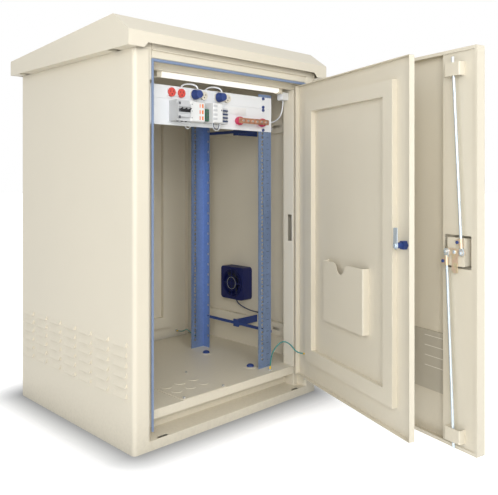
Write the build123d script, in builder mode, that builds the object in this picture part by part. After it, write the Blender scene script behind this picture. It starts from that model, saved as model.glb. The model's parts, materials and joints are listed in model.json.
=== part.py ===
"""Roadside utility cabinet with an inner and an outer front door, both swung open.

Millimetres. X runs right along the front, Y runs to the back, Z is up. The origin
is the middle of the base on the ground. Door pieces are drawn with the door shut
and are swung about their hinge line when they are written.
"""

import os
from math import cos, radians, sin, tan

from build123d import *

os.makedirs("parts", exist_ok=True)

# Cabinet body
cabinet_width = 860.0
cabinet_depth = 770.0
body_height = 1240.0
sheet = 2.0
corner_bend = 14.0
fold_bend = 4.0
jamb_width = 65.0
return_depth = 42.0
post_width = 25.0
post_depth = 55.0
strike_height = 104.0
strike_width = 20.0
strike_setback = 9.0
overrun = 1.0
fit_gap = 0.5

# Base and floor
sill_height = 30.0
base_flange = 90.0
ledge_depth = 112.0
side_ledge = 40.0
anchor_hole = 14.0
anchor_span_x = 710.0
anchor_span_y = 480.0
rod_slot_length = 40.0
rod_slot_width = 15.0
floor_top = 106.0
floor_lip = 29.0
floor_plug_hole = 44.0
floor_plug_head = 56.0
floor_plug_rise = 12.0
plug_dome_share = 0.9
floor_plug_x = 214.0
floor_plug_ys = (33.0, -232.0)
gland_width = 196.0
gland_depth = 228.0
gland_left = -206.0
knockout_radius = 20.0
knockout_rise = 1.2
gland_bolt_radius = 5.0
gland_bolt_rise = 5.0

# Louvres
louvre_length = 69.0
louvre_height = 15.0
louvre_proud = 9.0
louvre_skin = 1.5
louvre_pitch_along = 104.0
louvre_pitch_up = 31.5
louvre_columns = 7
louvre_rows = 6
louvre_base = 168.0
fan_louvre_rows = 4
door_louvre_columns = 4
door_louvre_base = 192.0

# Roof
roof_side = 36.0
roof_front = 24.0
roof_rear = 16.0
roof_fascia_front = 48.0
roof_fascia_rear = 54.0
roof_ridge_back = 83.0
roof_ridge_rise = 107.0
roof_edge_radius = 5.0
fascia_lift = 16.0
fascia_cheek = 56.0
roof_support_width = 40.0
roof_support_setback = 60.0

# Lintel over the door opening
lintel_drop = 24.0
lintel_rise = 26.0
landing_drop = 26.0
lintel_box = 20.0
drip_lip = 8.0

# Door seal
seal_width = 10.0
seal_proud = 6.0
seal_grip = 4.0

# Inner door
inner_side_gap = 15.0
inner_bottom = 84.0
inner_head_gap = 16.0
inner_pan = 18.0
inner_landing_gap = 1.0
inner_open = 69.0
inner_knuckle_radius = 4.0
inner_pin_radius = 2.0
inner_axis_out = 4.0
inner_axis_ahead = 8.0
stiffener_width = 542.0
stiffener_bottom = 157.0
stiffener_head_gap = 60.0
stiffener_bar = 48.0
stiffener_rise = 18.0
pocket_width = 250.0
pocket_bottom = 340.0
pocket_top = 553.0
pocket_depth = 24.0
notch_half = 48.0
notch_depth = 36.0
notch_shift = 11.0
latch_inset = 38.0
latch_height = 648.0
latch_hex = 14.0
latch_barrel = 9.0
latch_face = 13.0
lever_width = 18.0
lever_length = 52.0
lever_thick = 3.0

# Outer door
outer_side_lap = 26.0
outer_bottom = 46.0
outer_head_lap = 10.0
outer_pan = 32.0
outer_lip = 10.0
outer_stand_off = 3.0
outer_open = 76.5
outer_knuckle_radius = 6.0
outer_pin_radius = 3.0
outer_axis_out = 7.0
outer_axis_ahead = 11.0
stile_width = 127.0
stile_setback = 4.0
vent_bottom = 181.0
vent_top = 366.0
vent_plate = 3.0
vent_slit = 5.0
vent_border = 14.0

# Hinges
hinge_length = 60.0
hinge_low = 250.0
hinge_high = 960.0
hinge_leaf = 3.0
hinge_leaf_width = 26.0
running_fit = 0.05
joint_clearance = 0.3

# Three point lock on the outer door
cam_inset = 73.0
cam_height = 627.0
crank_radius = 28.0
cam_plate = 3.0
cam_bar = 20.0
cam_tongue = 62.0
cam_turn = 90.0
window_width = 98.0
window_height = 98.0
lock_body_width = 62.0
lock_body_height = 84.0
spindle_radius = 6.0
rod_radius = 4.0
rod_setback = 10.0
rod_eye_radius = 9.0
rod_eye_thick = 4.0
crank_pin_radius = 3.5
crank_head_radius = 6.0
crank_head_thick = 2.0
guide_inset = 75.0
guide_width = 56.0
guide_height = 40.0
guide_lift = 44.0
guide_drop = 62.0
rod_foot_gap = 22.0
rod_head_gap = 16.0
handle_length = 118.0
handle_width = 24.0
handle_thick = 12.0
handle_hub = 19.0
handle_neck = 14.0
escutcheon_width = 52.0
escutcheon_height = 150.0
escutcheon_thick = 5.0

# Rack
rack_pitch = 44.45
rack_head_room = 50.0
rack_hole_span = 566.7
hole_x = 232.55
rack_hole = 9.5
rack_hole_offsets = (6.35, 22.225, 38.1)
rail_inner = 212.0
rail_outer = 281.0
rail_sheet = 2.5
rail_return = 42.0
rail_setback = 105.0
rail_span = 410.0
rail_foot = 28.0
rail_head = 11.0
rail_side_hole_inset = 9.0
side_bar_height = 52.0
side_bar_depth = 20.0
side_bar_lift = 82.0
side_bar_drop = 125.35
side_bar_slot = 40.0
side_bar_slot_width = 12.0
side_bar_slot_back = 90.0
tie_height = 12.0
tie_thick = 4.0
tie_lift = 134.0
tie_drop = 120.35
tie_plate = 30.0
tie_plate_back = 203.0
tie_arm = 3.0

# Equipment panels on the front rails
panel_end_x = 279.0
panel_sheet = 3.0
panel_slot_length = 12.0
panel_slot_height = 7.0
panel_screw_inset = 7.0
screw_head_radius = 5.5
screw_head_thick = 4.0
socket_radius = 15.0
socket_thick = 9.0
socket_strap_height = 22.0
socket_strap_thick = 4.0
socket_pair_pitch = 42.0
red_socket_x = -193.0
white_socket_xs = (-93.0, 19.0)
plug_radius = 18.0
plug_length = 26.0
plug_nose = 10.0
module = 18.0
breaker_left = -221.0
device_lift = 13.0
breaker_height = 70.0
breaker_depth = 42.0
breaker_nose_height = 45.0
breaker_nose_depth = 10.0
toggle_radius = 5.0
toggle_reach = 12.0
toggle_turn = 40.0
arrester_left = -152.0
relay_left = -72.0
relay_width = 46.0
relay_depth = 58.0
terminal_width = 36.0
terminal_depth = 40.0
terminal_height = 56.0
earth_bar_xs = (96.0, 216.0)
earth_bar_lift = 33.0
earth_bar_height = 20.0
earth_bar_thick = 6.0
insulator_radius = 16.0
insulator_waist = 12.0
insulator_height = 26.0
earth_screw_radius = 4.0
earth_screw_rise = 4.0
earth_screw_count = 6
earth_bar_end = 34.0

# Lamp under the top plate
lamp_half = 282.0
lamp_setback = 37.0
lamp_drop = 27.0
lamp_radius = 14.0
lamp_channel_width = 28.0
lamp_holder = 18.0
switch_width = 34.0
switch_height = 30.0
switch_depth = 30.0
switch_drop = 36.0

# Fan on the right wall
fan_size = 142.0
fan_depth = 54.0
fan_y = 46.0
fan_z = 381.0
fan_bore = 62.0
fan_hub = 24.0
fan_blades = 7
fan_blade_thick = 3.0
fan_blade_tilt = 35.0
fan_tip_gap = 3.0
fan_rotor_depth = 26.0
fan_motor_depth = 12.0
fan_strut = 6.0
guard_wire = 1.8
guard_rings = (26.0, 42.0, 58.0)

# Earth straps and small cables
strap_radius = 2.2
cable_radius = 2.5
plug_cable_radius = 3.0
plug_cord_lean = 54.0
plug_cord_bend = 15.0
strap_floor_x = 236.0
strap_floor_setback = 27.0
strap_door_inset = 64.0
strap_door_z = 176.0
strap_rise = 36.0

# Places that the pieces share
half_width = cabinet_width / 2
front_y = -cabinet_depth / 2
rear_y = cabinet_depth / 2
opening_width = cabinet_width - 2 * jamb_width
half_open = opening_width / 2
lintel_bottom = body_height - lintel_drop
lintel_top = body_height + lintel_rise
inner_top = lintel_bottom - inner_head_gap
outer_top = lintel_bottom + outer_head_lap
stiffener_top = inner_top - stiffener_head_gap
rod_y = front_y + rod_setback
rod_high_tip = lintel_bottom - rod_head_gap
rod_low_tip = sill_height + rod_foot_gap
guide_high = outer_top - guide_drop
guide_low = outer_bottom + guide_lift
rail_front_y = front_y + rail_setback
rail_rear_y = rail_front_y + rail_span
side_bar_slot_y = rail_front_y + side_bar_slot_back
tie_plate_y = rail_front_y + tie_plate_back
lamp_z = lintel_bottom - lamp_drop
switch_top = lintel_bottom - switch_drop
wall_x = half_width - sheet
landing_y = front_y + return_depth - sheet
lamp_y = landing_y + lamp_setback
strap_floor_y = landing_y + strap_floor_setback
post_x = half_open - post_width
inner_half = half_open - inner_side_gap
inner_back_y = landing_y - inner_landing_gap
inner_face_y = inner_back_y - inner_pan
inner_axis = (inner_half + inner_axis_out, inner_face_y - inner_axis_ahead)
outer_half = half_open + outer_side_lap
outer_back_y = front_y - outer_stand_off
outer_skin_y = outer_back_y - outer_pan
outer_axis = (outer_half + outer_axis_out, front_y - outer_axis_ahead)
stile_face_y = outer_back_y - stile_setback
bridge_y = rod_y + rod_radius + overrun
cam_x = cam_inset - outer_half
guide_x = guide_inset - outer_half
cam_back_y = rod_y - rod_eye_thick / 2 - fit_gap - cam_plate
lock_face_y = cam_back_y - fit_gap - sheet
rack_centre = hole_x - rack_hole_span / 2
grid_bottom = floor_top + rail_foot
rack_units = int((lintel_bottom - grid_bottom - rack_head_room) // rack_pitch)
grid_top = grid_bottom + rack_units * rack_pitch
side_bar_levels = (floor_top + side_bar_lift, grid_top - side_bar_drop)
tie_levels = (floor_top + tie_lift, grid_top - tie_drop)
panel_back_y = rail_front_y
panel_face_y = panel_back_y - panel_sheet
socket_panel_bottom = grid_top - rack_pitch
device_panel_bottom = grid_top - 3 * rack_pitch
breaker_bottom = device_panel_bottom + device_lift
earth_bar_z = device_panel_bottom + earth_bar_lift
socket_z = grid_top - rack_pitch / 2
hinge_levels = (hinge_low, hinge_high)
fan_louvre_base = fan_z - fan_louvre_rows * louvre_pitch_up / 2 + louvre_height / 2
inner_hinge_line = Axis((*inner_axis, 0), (0, 0, 1))
outer_hinge_line = Axis((*outer_axis, 0), (0, 0, 1))


def block(xs, ys, zs, mode=Mode.ADD):
    """Draw a box between two values on each axis."""
    with Locations((min(xs), min(ys), min(zs))):
        Box(
            abs(xs[1] - xs[0]),
            abs(ys[1] - ys[0]),
            abs(zs[1] - zs[0]),
            align=(Align.MIN, Align.MIN, Align.MIN),
            mode=mode,
        )


def rod_between(start, end, radius, mode=Mode.ADD):
    """Draw a round bar from one point to another."""
    run = Vector(*end) - Vector(*start)
    with BuildSketch(Plane(origin=start, z_dir=run)) as section:
        Circle(radius)
    extrude(section.sketch, amount=run.length, mode=mode)


def folded(points, bend, side):
    """Draw the profile of a folded sheet along its seen face."""
    with BuildLine() as outline:
        FilletPolyline(*points, radius=bend)
        offset(amount=sheet, side=side)
    make_face(outline.edges())


def cut_plane_y(y):
    """Give the plane across the cabinet at y, with X and Z as its own axes."""
    return Plane(origin=(0, y, 0), x_dir=(1, 0, 0), z_dir=(0, -1, 0))


def louvre_rows_at(plane, face, base, direction, rows):
    """Press one column of louvres out of a sheet whose outer face is given."""
    levels = [(face, base + row * louvre_pitch_up) for row in range(rows)]
    back = sheet + overrun
    slope_rise = louvre_height * (back + louvre_proud - louvre_skin) / louvre_proud
    with BuildSketch(plane) as hoods:
        with Locations(*levels):
            Polygon(
                (0, 0),
                (direction * louvre_proud, 0),
                (0, louvre_height),
                align=None,
            )
    extrude(hoods.sketch, amount=louvre_length / 2, both=True)
    with BuildSketch(plane) as mouths:
        with Locations(*levels):
            Polygon(
                (-direction * back, 0),
                (direction * (louvre_proud - louvre_skin), 0),
                (-direction * back, slope_rise),
                align=None,
            )
    mouth_half = louvre_length / 2 - louvre_skin
    extrude(mouths.sketch, amount=mouth_half, both=True, mode=Mode.SUBTRACT)


def save(piece, name):
    """Write a piece of the standing body."""
    piece.label = name
    export_step(piece, f"parts/{name}.step")


def save_swung(piece, name, hinge_line, angle):
    """Write a piece of a door, swung open from its shut place."""
    save(piece.rotate(hinge_line, angle), name)


# Base pan: a ring of channel with a deep front ledge
with BuildPart() as base_pan:
    with BuildSketch():
        RectangleRounded(2 * wall_x, cabinet_depth - 2 * sheet, corner_bend - sheet)
        Rectangle(
            2 * (wall_x - base_flange),
            cabinet_depth - 2 * (sheet + base_flange),
            mode=Mode.SUBTRACT,
        )
        with GridLocations(anchor_span_x, anchor_span_y, 2, 2):
            Circle(anchor_hole / 2, mode=Mode.SUBTRACT)
    extrude(amount=sheet)
    with BuildSketch():
        RectangleRounded(2 * wall_x, cabinet_depth - 2 * sheet, corner_bend - sheet)
        RectangleRounded(
            2 * (wall_x - sheet),
            cabinet_depth - 4 * sheet,
            corner_bend - 2 * sheet,
            mode=Mode.SUBTRACT,
        )
    extrude(amount=sill_height)
    block(
        (-half_open + fit_gap, half_open - fit_gap),
        (front_y, front_y + sheet),
        (0, sill_height),
    )
    with BuildSketch(Plane.XY.offset(sill_height - sheet)):
        RectangleRounded(2 * wall_x, cabinet_depth - 2 * sheet, corner_bend - sheet)
        with Locations((0, (ledge_depth - side_ledge) / 2)):
            Rectangle(
                2 * (wall_x - side_ledge),
                cabinet_depth - 2 * sheet - ledge_depth - side_ledge,
                mode=Mode.SUBTRACT,
            )
        with Locations((guide_x, rod_y), (-guide_x, rod_y)):
            SlotOverall(rod_slot_length, rod_slot_width, mode=Mode.SUBTRACT)
    extrude(amount=sheet)
save(base_pan.part, "base_pan")

# Side panels: one folded sheet each, with louvres pressed out
front_fold = [
    (half_open, landing_y + sheet),
    (half_open, front_y),
    (half_width, front_y),
    (half_width, rear_y),
    (half_open, rear_y),
    (half_open, rear_y - return_depth),
]
with BuildPart() as plain_side_panel:
    with BuildSketch(Plane.XY.offset(sill_height)):
        folded(front_fold, corner_bend, Side.LEFT)
    extrude(amount=body_height - sill_height)
    with BuildSketch():
        folded(front_fold[1:5], corner_bend, Side.LEFT)
    extrude(amount=sill_height)
    block(
        (half_open - overrun, half_open + sheet + overrun),
        (cam_back_y - 2 * overrun, cam_back_y + cam_plate + 2 * overrun),
        (cam_height - cam_tongue, cam_height + cam_bar),
        mode=Mode.SUBTRACT,
    )
with BuildPart() as right_side_panel:
    add(plain_side_panel.part)
    louvre_rows_at(cut_plane_y(fan_y), half_width, fan_louvre_base, 1, fan_louvre_rows)
with BuildPart() as louvred_side_panel:
    add(plain_side_panel.part)
    for column in range(louvre_columns):
        along = (column - (louvre_columns - 1) / 2) * louvre_pitch_along
        louvre_rows_at(cut_plane_y(along), half_width, louvre_base, 1, louvre_rows)
save(right_side_panel.part, "right_side_panel")
save(mirror(louvred_side_panel.part, about=Plane.YZ), "left_side_panel")

# Door posts behind the front returns, each with a strike slot for the latch
with BuildPart() as right_post:
    with BuildSketch(Plane.XY.offset(sill_height)):
        folded(
            [
                (half_open, landing_y),
                (post_x, landing_y),
                (post_x, landing_y + post_depth),
                (wall_x, landing_y + post_depth),
            ],
            fold_bend,
            Side.RIGHT,
        )
    extrude(amount=lintel_bottom - landing_drop - sill_height)
    block(
        (post_x - overrun, post_x + sheet + overrun),
        (landing_y + strike_setback, landing_y + strike_setback + strike_width),
        (latch_height - strike_height / 2, latch_height + strike_height / 2),
        mode=Mode.SUBTRACT,
    )
save(right_post.part, "right_post")
save(mirror(right_post.part, about=Plane.YZ), "left_post")

# Lintel with a landing for the inner door, a drip lip and a slot for the rod
with BuildPart() as lintel:
    with BuildSketch(Plane.YZ):
        folded(
            [
                (front_y, lintel_top),
                (front_y, lintel_bottom),
                (landing_y, lintel_bottom),
                (landing_y, lintel_bottom - landing_drop),
                (landing_y + lintel_box, lintel_bottom - landing_drop),
                (landing_y + lintel_box, body_height - sheet),
            ],
            fold_bend,
            Side.LEFT,
        )
    extrude(amount=half_open - fit_gap, both=True)
    block(
        (-half_open + fit_gap, half_open - fit_gap),
        (front_y - drip_lip, front_y),
        (body_height, body_height + sheet),
    )
    with BuildSketch(Plane.XY.offset(lintel_bottom - overrun)):
        with Locations((guide_x, rod_y), (-guide_x, rod_y)):
            SlotOverall(rod_slot_length, rod_slot_width)
    extrude(amount=sheet + 2 * overrun, mode=Mode.SUBTRACT)
save(lintel.part, "lintel")

# Top plate under the roof
with BuildPart() as top_plate:
    block(
        (-wall_x, wall_x),
        (front_y + return_depth, rear_y - return_depth),
        (body_height - sheet, body_height),
    )
save(top_plate.part, "top_plate")

# Roof: a folded cap, open below, with the front edge lifted over the door
roof_half = half_width + roof_side
roof_front_y = front_y - roof_front
roof_rear_y = rear_y + roof_rear
support_ys = (front_y + roof_ridge_back, rear_y - roof_support_setback)
roof_outline = (
    (roof_front_y, body_height),
    (roof_rear_y, body_height),
    (roof_rear_y, body_height + roof_fascia_rear),
    (roof_front_y + roof_ridge_back, body_height + roof_ridge_rise),
    (roof_front_y, body_height + roof_fascia_front),
)
with BuildPart() as roof_cap:
    with BuildSketch(Plane.YZ) as roof_face:
        Polygon(*roof_outline, align=None)
        fillet(roof_face.vertices().group_by(Axis.Y)[1:], roof_edge_radius)
    extrude(amount=roof_half, both=True)
    with BuildSketch(Plane.YZ):
        Polygon(*roof_outline, align=None)
        offset(amount=-sheet, mode=Mode.REPLACE)
    extrude(amount=roof_half - sheet, both=True, mode=Mode.SUBTRACT)
    block(
        (-roof_half + sheet, roof_half - sheet),
        (roof_front_y + sheet, roof_rear_y - sheet),
        (body_height - overrun, body_height + sheet + overrun),
        mode=Mode.SUBTRACT,
    )
    with BuildSketch(cut_plane_y(roof_front_y + sheet + overrun)):
        Polygon(
            (-roof_half + fascia_cheek, body_height - overrun),
            (roof_half - fascia_cheek, body_height - overrun),
            (roof_half - fascia_cheek - fascia_lift, body_height + fascia_lift),
            (-roof_half + fascia_cheek + fascia_lift, body_height + fascia_lift),
            align=None,
        )
    extrude(amount=sheet + 2 * overrun, mode=Mode.SUBTRACT)
    with BuildSketch(Plane.XY.offset(body_height)):
        with Locations((0, (roof_front_y + roof_rear_y) / 2)):
            with GridLocations(roof_half + half_width + fit_gap, roof_half, 2, 1):
                Rectangle(roof_side - fit_gap, roof_rear_y - roof_front_y)
        for support_y in support_ys:
            with Locations((0, support_y)):
                Rectangle(
                    2 * (roof_half - sheet),
                    roof_support_width + 2 * fit_gap,
                    mode=Mode.SUBTRACT,
                )
    extrude(amount=sheet)
save(roof_cap.part, "roof_cap")

# Two hat bars carry the roof on the top plate
rear_run = cabinet_depth + roof_rear + roof_front - roof_ridge_back
rear_fall = (roof_ridge_rise - roof_fascia_rear) / rear_run
with BuildPart() as roof_supports:
    for support_y in support_ys:
        reach = support_y + roof_support_width / 2 - roof_front_y - roof_ridge_back
        support_top = body_height + roof_ridge_rise - rear_fall * reach - 3 * sheet
        with BuildSketch(Plane.YZ):
            folded(
                [
                    (support_y - roof_support_width / 2, body_height),
                    (support_y - roof_support_width / 2, support_top),
                    (support_y + roof_support_width / 2, support_top),
                    (support_y + roof_support_width / 2, body_height),
                ],
                fold_bend,
                Side.RIGHT,
            )
        extrude(amount=roof_half - sheet, both=True)
save(roof_supports.part, "roof_supports")

# Rear panel: a pan screwed between the rear returns, with a stiffener inside
rear_plate_y = rear_y - return_depth / 2
with BuildPart() as rear_panel:
    block(
        (-half_open, half_open),
        (rear_plate_y - sheet, rear_y - sheet),
        (sill_height, body_height - sheet),
    )
    block(
        (-half_open + sheet, half_open - sheet),
        (rear_plate_y, rear_y),
        (sill_height + sheet, body_height - 2 * sheet),
        mode=Mode.SUBTRACT,
    )


def stiffener(face_y, direction):
    """Draw a hat section frame that stands off a panel."""
    middle = (stiffener_bottom + stiffener_top) / 2
    tall = stiffener_top - stiffener_bottom
    with BuildPart() as frame:
        with BuildSketch(cut_plane_y(face_y)):
            with Locations((0, middle)):
                Rectangle(stiffener_width, tall)
                Rectangle(
                    stiffener_width - 2 * stiffener_bar,
                    tall - 2 * stiffener_bar,
                    mode=Mode.SUBTRACT,
                )
        extrude(amount=-direction * stiffener_rise)
        with BuildSketch(cut_plane_y(face_y)):
            with Locations((0, middle)):
                Rectangle(stiffener_width - 2 * sheet, tall - 2 * sheet)
                Rectangle(
                    stiffener_width - 2 * stiffener_bar + 2 * sheet,
                    tall - 2 * stiffener_bar + 2 * sheet,
                    mode=Mode.SUBTRACT,
                )
        extrude(amount=-direction * (stiffener_rise - sheet), mode=Mode.SUBTRACT)
    return frame.part


with BuildPart() as rear_panel_braced:
    add(rear_panel.part)
    add(stiffener(rear_plate_y - sheet, -1))
save(rear_panel_braced.part, "rear_panel")

# Floor tray on side legs, with a front lip that the inner door shuts on
tray_half = wall_x - fit_gap
tray_front = landing_y + post_depth + fit_gap
tray_rear = rear_y - return_depth - fit_gap
with BuildPart() as floor_tray:
    block((-tray_half, tray_half), (tray_front, tray_rear), (floor_top - sheet, floor_top))
    apron_half = post_x - fit_gap
    block((-apron_half, apron_half), (landing_y, tray_front), (floor_top - sheet, floor_top))
    block(
        (-apron_half, apron_half),
        (landing_y, landing_y + sheet),
        (floor_top - floor_lip, floor_top),
    )
    for side in (-1, 1):
        block(
            (side * tray_half, side * (tray_half - sheet)),
            (tray_front, tray_rear),
            (sill_height, floor_top),
        )
    with Locations(*[(floor_plug_x, y, floor_top - sheet / 2) for y in floor_plug_ys]):
        Cylinder(floor_plug_hole / 2, sheet + overrun, mode=Mode.SUBTRACT)
save(floor_tray.part, "floor_tray")

# Rubber plugs in the floor's spare cable holes
with BuildPart() as floor_plugs:
    with Locations(*[(floor_plug_x, y, floor_top - sheet) for y in floor_plug_ys]):
        Cylinder(floor_plug_hole / 2 - fit_gap, 2 * sheet)
    with Locations(*[(floor_plug_x, y, floor_top + floor_plug_rise / 2) for y in floor_plug_ys]):
        Cylinder(floor_plug_head / 2, floor_plug_rise)
    fillet(floor_plugs.edges().group_by(Axis.Z)[-1], floor_plug_rise * plug_dome_share)
save(floor_plugs.part, "floor_plugs")

# Gland plate with pressed knock-outs, bolted over the cable entry
gland_front = landing_y + sheet + fit_gap
gland_middle = (gland_left + gland_width / 2, gland_front + gland_depth / 2)
with BuildPart() as gland_plate:
    with BuildSketch(Plane.XY.offset(floor_top)):
        with Locations(gland_middle):
            RectangleRounded(gland_width, gland_depth, corner_bend / 2)
    extrude(amount=sheet)
    with BuildSketch(Plane.XY.offset(floor_top + sheet)):
        with Locations(gland_middle):
            with GridLocations(3 * knockout_radius, 3 * knockout_radius, 3, 2):
                Circle(knockout_radius)
    extrude(amount=knockout_rise)
save(gland_plate.part, "gland_plate")
with BuildPart() as gland_bolts:
    with BuildSketch(Plane.XY.offset(floor_top + sheet)):
        with Locations(gland_middle):
            with GridLocations(
                gland_width - 4 * gland_bolt_radius,
                gland_depth - 4 * gland_bolt_radius,
                2,
                2,
            ):
                RegularPolygon(gland_bolt_radius, 6)
    extrude(amount=gland_bolt_rise)


# Rack rails: angles with three square holes in each rack unit
def rack_rail(face_y, direction, side_holes):
    """Draw the right rail whose mounting face is at face_y."""
    levels = [
        grid_bottom + unit * rack_pitch + offset_up
        for unit in range(rack_units)
        for offset_up in rack_hole_offsets
    ]
    rail_top = grid_top + rail_head
    side_y = face_y + direction * (rail_return - rail_side_hole_inset)
    with BuildPart() as rail:
        with BuildSketch(cut_plane_y(face_y)):
            with Locations(((rail_inner + rail_outer) / 2, (floor_top + rail_top) / 2)):
                Rectangle(rail_outer - rail_inner, rail_top - floor_top)
            with Locations(*[(hole_x, level) for level in levels]):
                Rectangle(rack_hole, rack_hole, mode=Mode.SUBTRACT)
        extrude(amount=-direction * rail_sheet)
        with BuildSketch(Plane.YZ.offset(rail_outer)):
            with Locations((face_y + direction * rail_return / 2, (floor_top + rail_top) / 2)):
                Rectangle(rail_return, rail_top - floor_top)
            if side_holes:
                with Locations(*[(side_y, level) for level in levels[1::3]]):
                    Rectangle(rack_hole, rack_hole, mode=Mode.SUBTRACT)
        extrude(amount=-rail_sheet)
    return rail.part


rack_middle = Plane.YZ.offset(rack_centre)
front_right_rail = rack_rail(rail_front_y, 1, False)
rear_right_rail = rack_rail(rail_rear_y, -1, True)
save(front_right_rail, "front_right_rail")
save(mirror(front_right_rail, about=rack_middle), "front_left_rail")
save(rear_right_rail, "rear_right_rail")
save(mirror(rear_right_rail, about=rack_middle), "rear_left_rail")

# Depth bars on the side walls, and the ties that hold the rails to them
bar_front = landing_y + post_depth + fit_gap
bar_rear = tray_rear
with BuildPart() as right_side_bars:
    for level in side_bar_levels:
        block(
            (wall_x - side_bar_depth, wall_x),
            (bar_front, bar_rear),
            (level, level + side_bar_height),
        )
        block(
            (wall_x - side_bar_depth + sheet, wall_x),
            (bar_front, bar_rear),
            (level + sheet, level + side_bar_height - sheet),
            mode=Mode.SUBTRACT,
        )
        with BuildSketch(Plane.YZ.offset(wall_x - side_bar_depth - overrun)):
            with Locations((side_bar_slot_y, level + side_bar_height / 2)):
                SlotOverall(side_bar_slot, side_bar_slot_width)
        extrude(amount=sheet + 2 * overrun, mode=Mode.SUBTRACT)
with BuildPart() as side_bars:
    add(right_side_bars.part)
    mirror(about=Plane.YZ)
save(side_bars.part, "side_bars")
with BuildPart() as rail_ties:
    for side, outer in ((1, rail_outer), (-1, rail_outer - 2 * rack_centre)):
        for level in tie_levels:
            block(
                (side * outer, side * (outer + tie_thick)),
                (rail_front_y, rail_rear_y),
                (level - tie_height / 2, level + tie_height / 2),
            )
            block(
                (side * outer, side * (outer + tie_thick + tie_arm)),
                (tie_plate_y - tie_plate / 2, tie_plate_y + tie_plate / 2),
                (level - tie_plate / 2, level + tie_plate / 2),
            )
            block(
                (side * outer, side * (wall_x - side_bar_depth)),
                (tie_plate_y - tie_arm / 2, tie_plate_y + tie_arm / 2),
                (level - tie_plate / 2, level + tie_plate / 2),
            )
save(rail_ties.part, "rail_ties")


# Panels across the front rails
def rack_panel(bottom, units):
    """Draw a plate with slots at its corners for the rail screws."""
    top = bottom + units * rack_pitch
    with BuildPart() as panel:
        with BuildSketch(cut_plane_y(panel_back_y)):
            with Locations((rack_centre, (bottom + top) / 2)):
                Rectangle(2 * (panel_end_x - rack_centre), top - bottom - fit_gap)
                with GridLocations(
                    rack_hole_span, top - bottom - 2 * panel_screw_inset, 2, 2
                ):
                    SlotOverall(panel_slot_length, panel_slot_height, mode=Mode.SUBTRACT)
        extrude(amount=panel_sheet)
    return panel.part


save(rack_panel(socket_panel_bottom, 1), "socket_panel")
save(rack_panel(device_panel_bottom, 2), "device_panel")
with BuildPart() as panel_screws:
    screw_levels = (
        socket_panel_bottom + panel_screw_inset,
        grid_top - panel_screw_inset,
        device_panel_bottom + panel_screw_inset,
        socket_panel_bottom - panel_screw_inset,
    )
    with BuildSketch(cut_plane_y(panel_face_y)):
        with Locations(*[(x, z) for x in (hole_x, 2 * rack_centre - hole_x) for z in screw_levels]):
            Circle(screw_head_radius)
    extrude(amount=screw_head_thick)


# Sockets, plugs and their cords
def twin_sockets(centres):
    """Draw twin sockets on straps at the given places along the panel."""
    with BuildPart() as sockets:
        for centre in centres:
            with BuildSketch(cut_plane_y(panel_face_y)):
                with Locations((centre, socket_z)):
                    RectangleRounded(
                        socket_pair_pitch + 2 * socket_radius,
                        socket_strap_height,
                        fold_bend,
                    )
            extrude(amount=socket_strap_thick)
            with BuildSketch(cut_plane_y(panel_face_y)):
                with Locations((centre, socket_z)):
                    with GridLocations(socket_pair_pitch, socket_pair_pitch, 2, 1):
                        Circle(socket_radius)
            extrude(amount=socket_thick)
    return sockets.part


save(twin_sockets([red_socket_x]), "red_socket")
save(twin_sockets(white_socket_xs), "white_sockets")
socket_face_y = panel_face_y - socket_thick
plug_xs = [centre - socket_pair_pitch / 2 for centre in white_socket_xs]
with BuildPart() as plugs:
    for plug_x in plug_xs:
        with BuildSketch(cut_plane_y(socket_face_y)):
            with Locations((plug_x, socket_z)):
                Circle(plug_radius)
        extrude(amount=plug_length, taper=plug_nose)
save(plugs.part, "plugs")
cord_top = lamp_z - lamp_radius - 2 * plug_cable_radius
cord_mid_y = socket_face_y - plug_length / 2
cord_back_y = panel_back_y + plug_radius
cord_start_z = socket_z + plug_radius
cord_start_z -= (plug_length / 2 - plug_cable_radius) * tan(radians(plug_nose))
for name, plug_x in zip(("left_plug_cord", "right_plug_cord"), plug_xs):
    with BuildPart() as plug_cord:
        with BuildLine() as cord_path:
            FilletPolyline(
                (plug_x, cord_mid_y, cord_start_z),
                (plug_x, cord_mid_y, cord_top),
                (plug_x - plug_cord_lean, cord_back_y, cord_top),
                (plug_x - plug_cord_lean, cord_back_y, socket_panel_bottom),
                radius=plug_cord_bend,
            )
        with BuildSketch(Plane(origin=cord_path.line @ 0, z_dir=cord_path.line % 0)):
            Circle(plug_cable_radius)
        sweep()
    save(plug_cord.part, name)

# Breaker with a tied toggle, surge arrester, relay and terminals
breaker_width = 3 * module
breaker_nose_y = panel_face_y - breaker_depth - breaker_nose_depth
breaker_middle_z = breaker_bottom + breaker_height / 2
toggle_y = panel_face_y - breaker_depth - breaker_nose_depth / 2
with BuildPart() as breaker_body:
    block(
        (breaker_left, breaker_left + breaker_width),
        (panel_face_y - breaker_depth, panel_face_y),
        (breaker_bottom, breaker_bottom + breaker_height),
    )
    block(
        (breaker_left, breaker_left + breaker_width),
        (breaker_nose_y, panel_face_y - breaker_depth),
        (breaker_middle_z - breaker_nose_height / 2, breaker_middle_z + breaker_nose_height / 2),
    )
    groove = toggle_radius + 2 * joint_clearance
    with Locations((breaker_left + breaker_width / 2, toggle_y, breaker_middle_z)):
        Cylinder(
            groove,
            breaker_width - 2 * sheet,
            rotation=(0, 90, 0),
            mode=Mode.SUBTRACT,
        )
    block(
        (breaker_left + sheet, breaker_left + breaker_width - sheet),
        (breaker_nose_y - overrun, toggle_y),
        (breaker_middle_z - 2 * groove, breaker_middle_z + 2 * groove),
        mode=Mode.SUBTRACT,
    )
save(breaker_body.part, "breaker_body")
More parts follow.
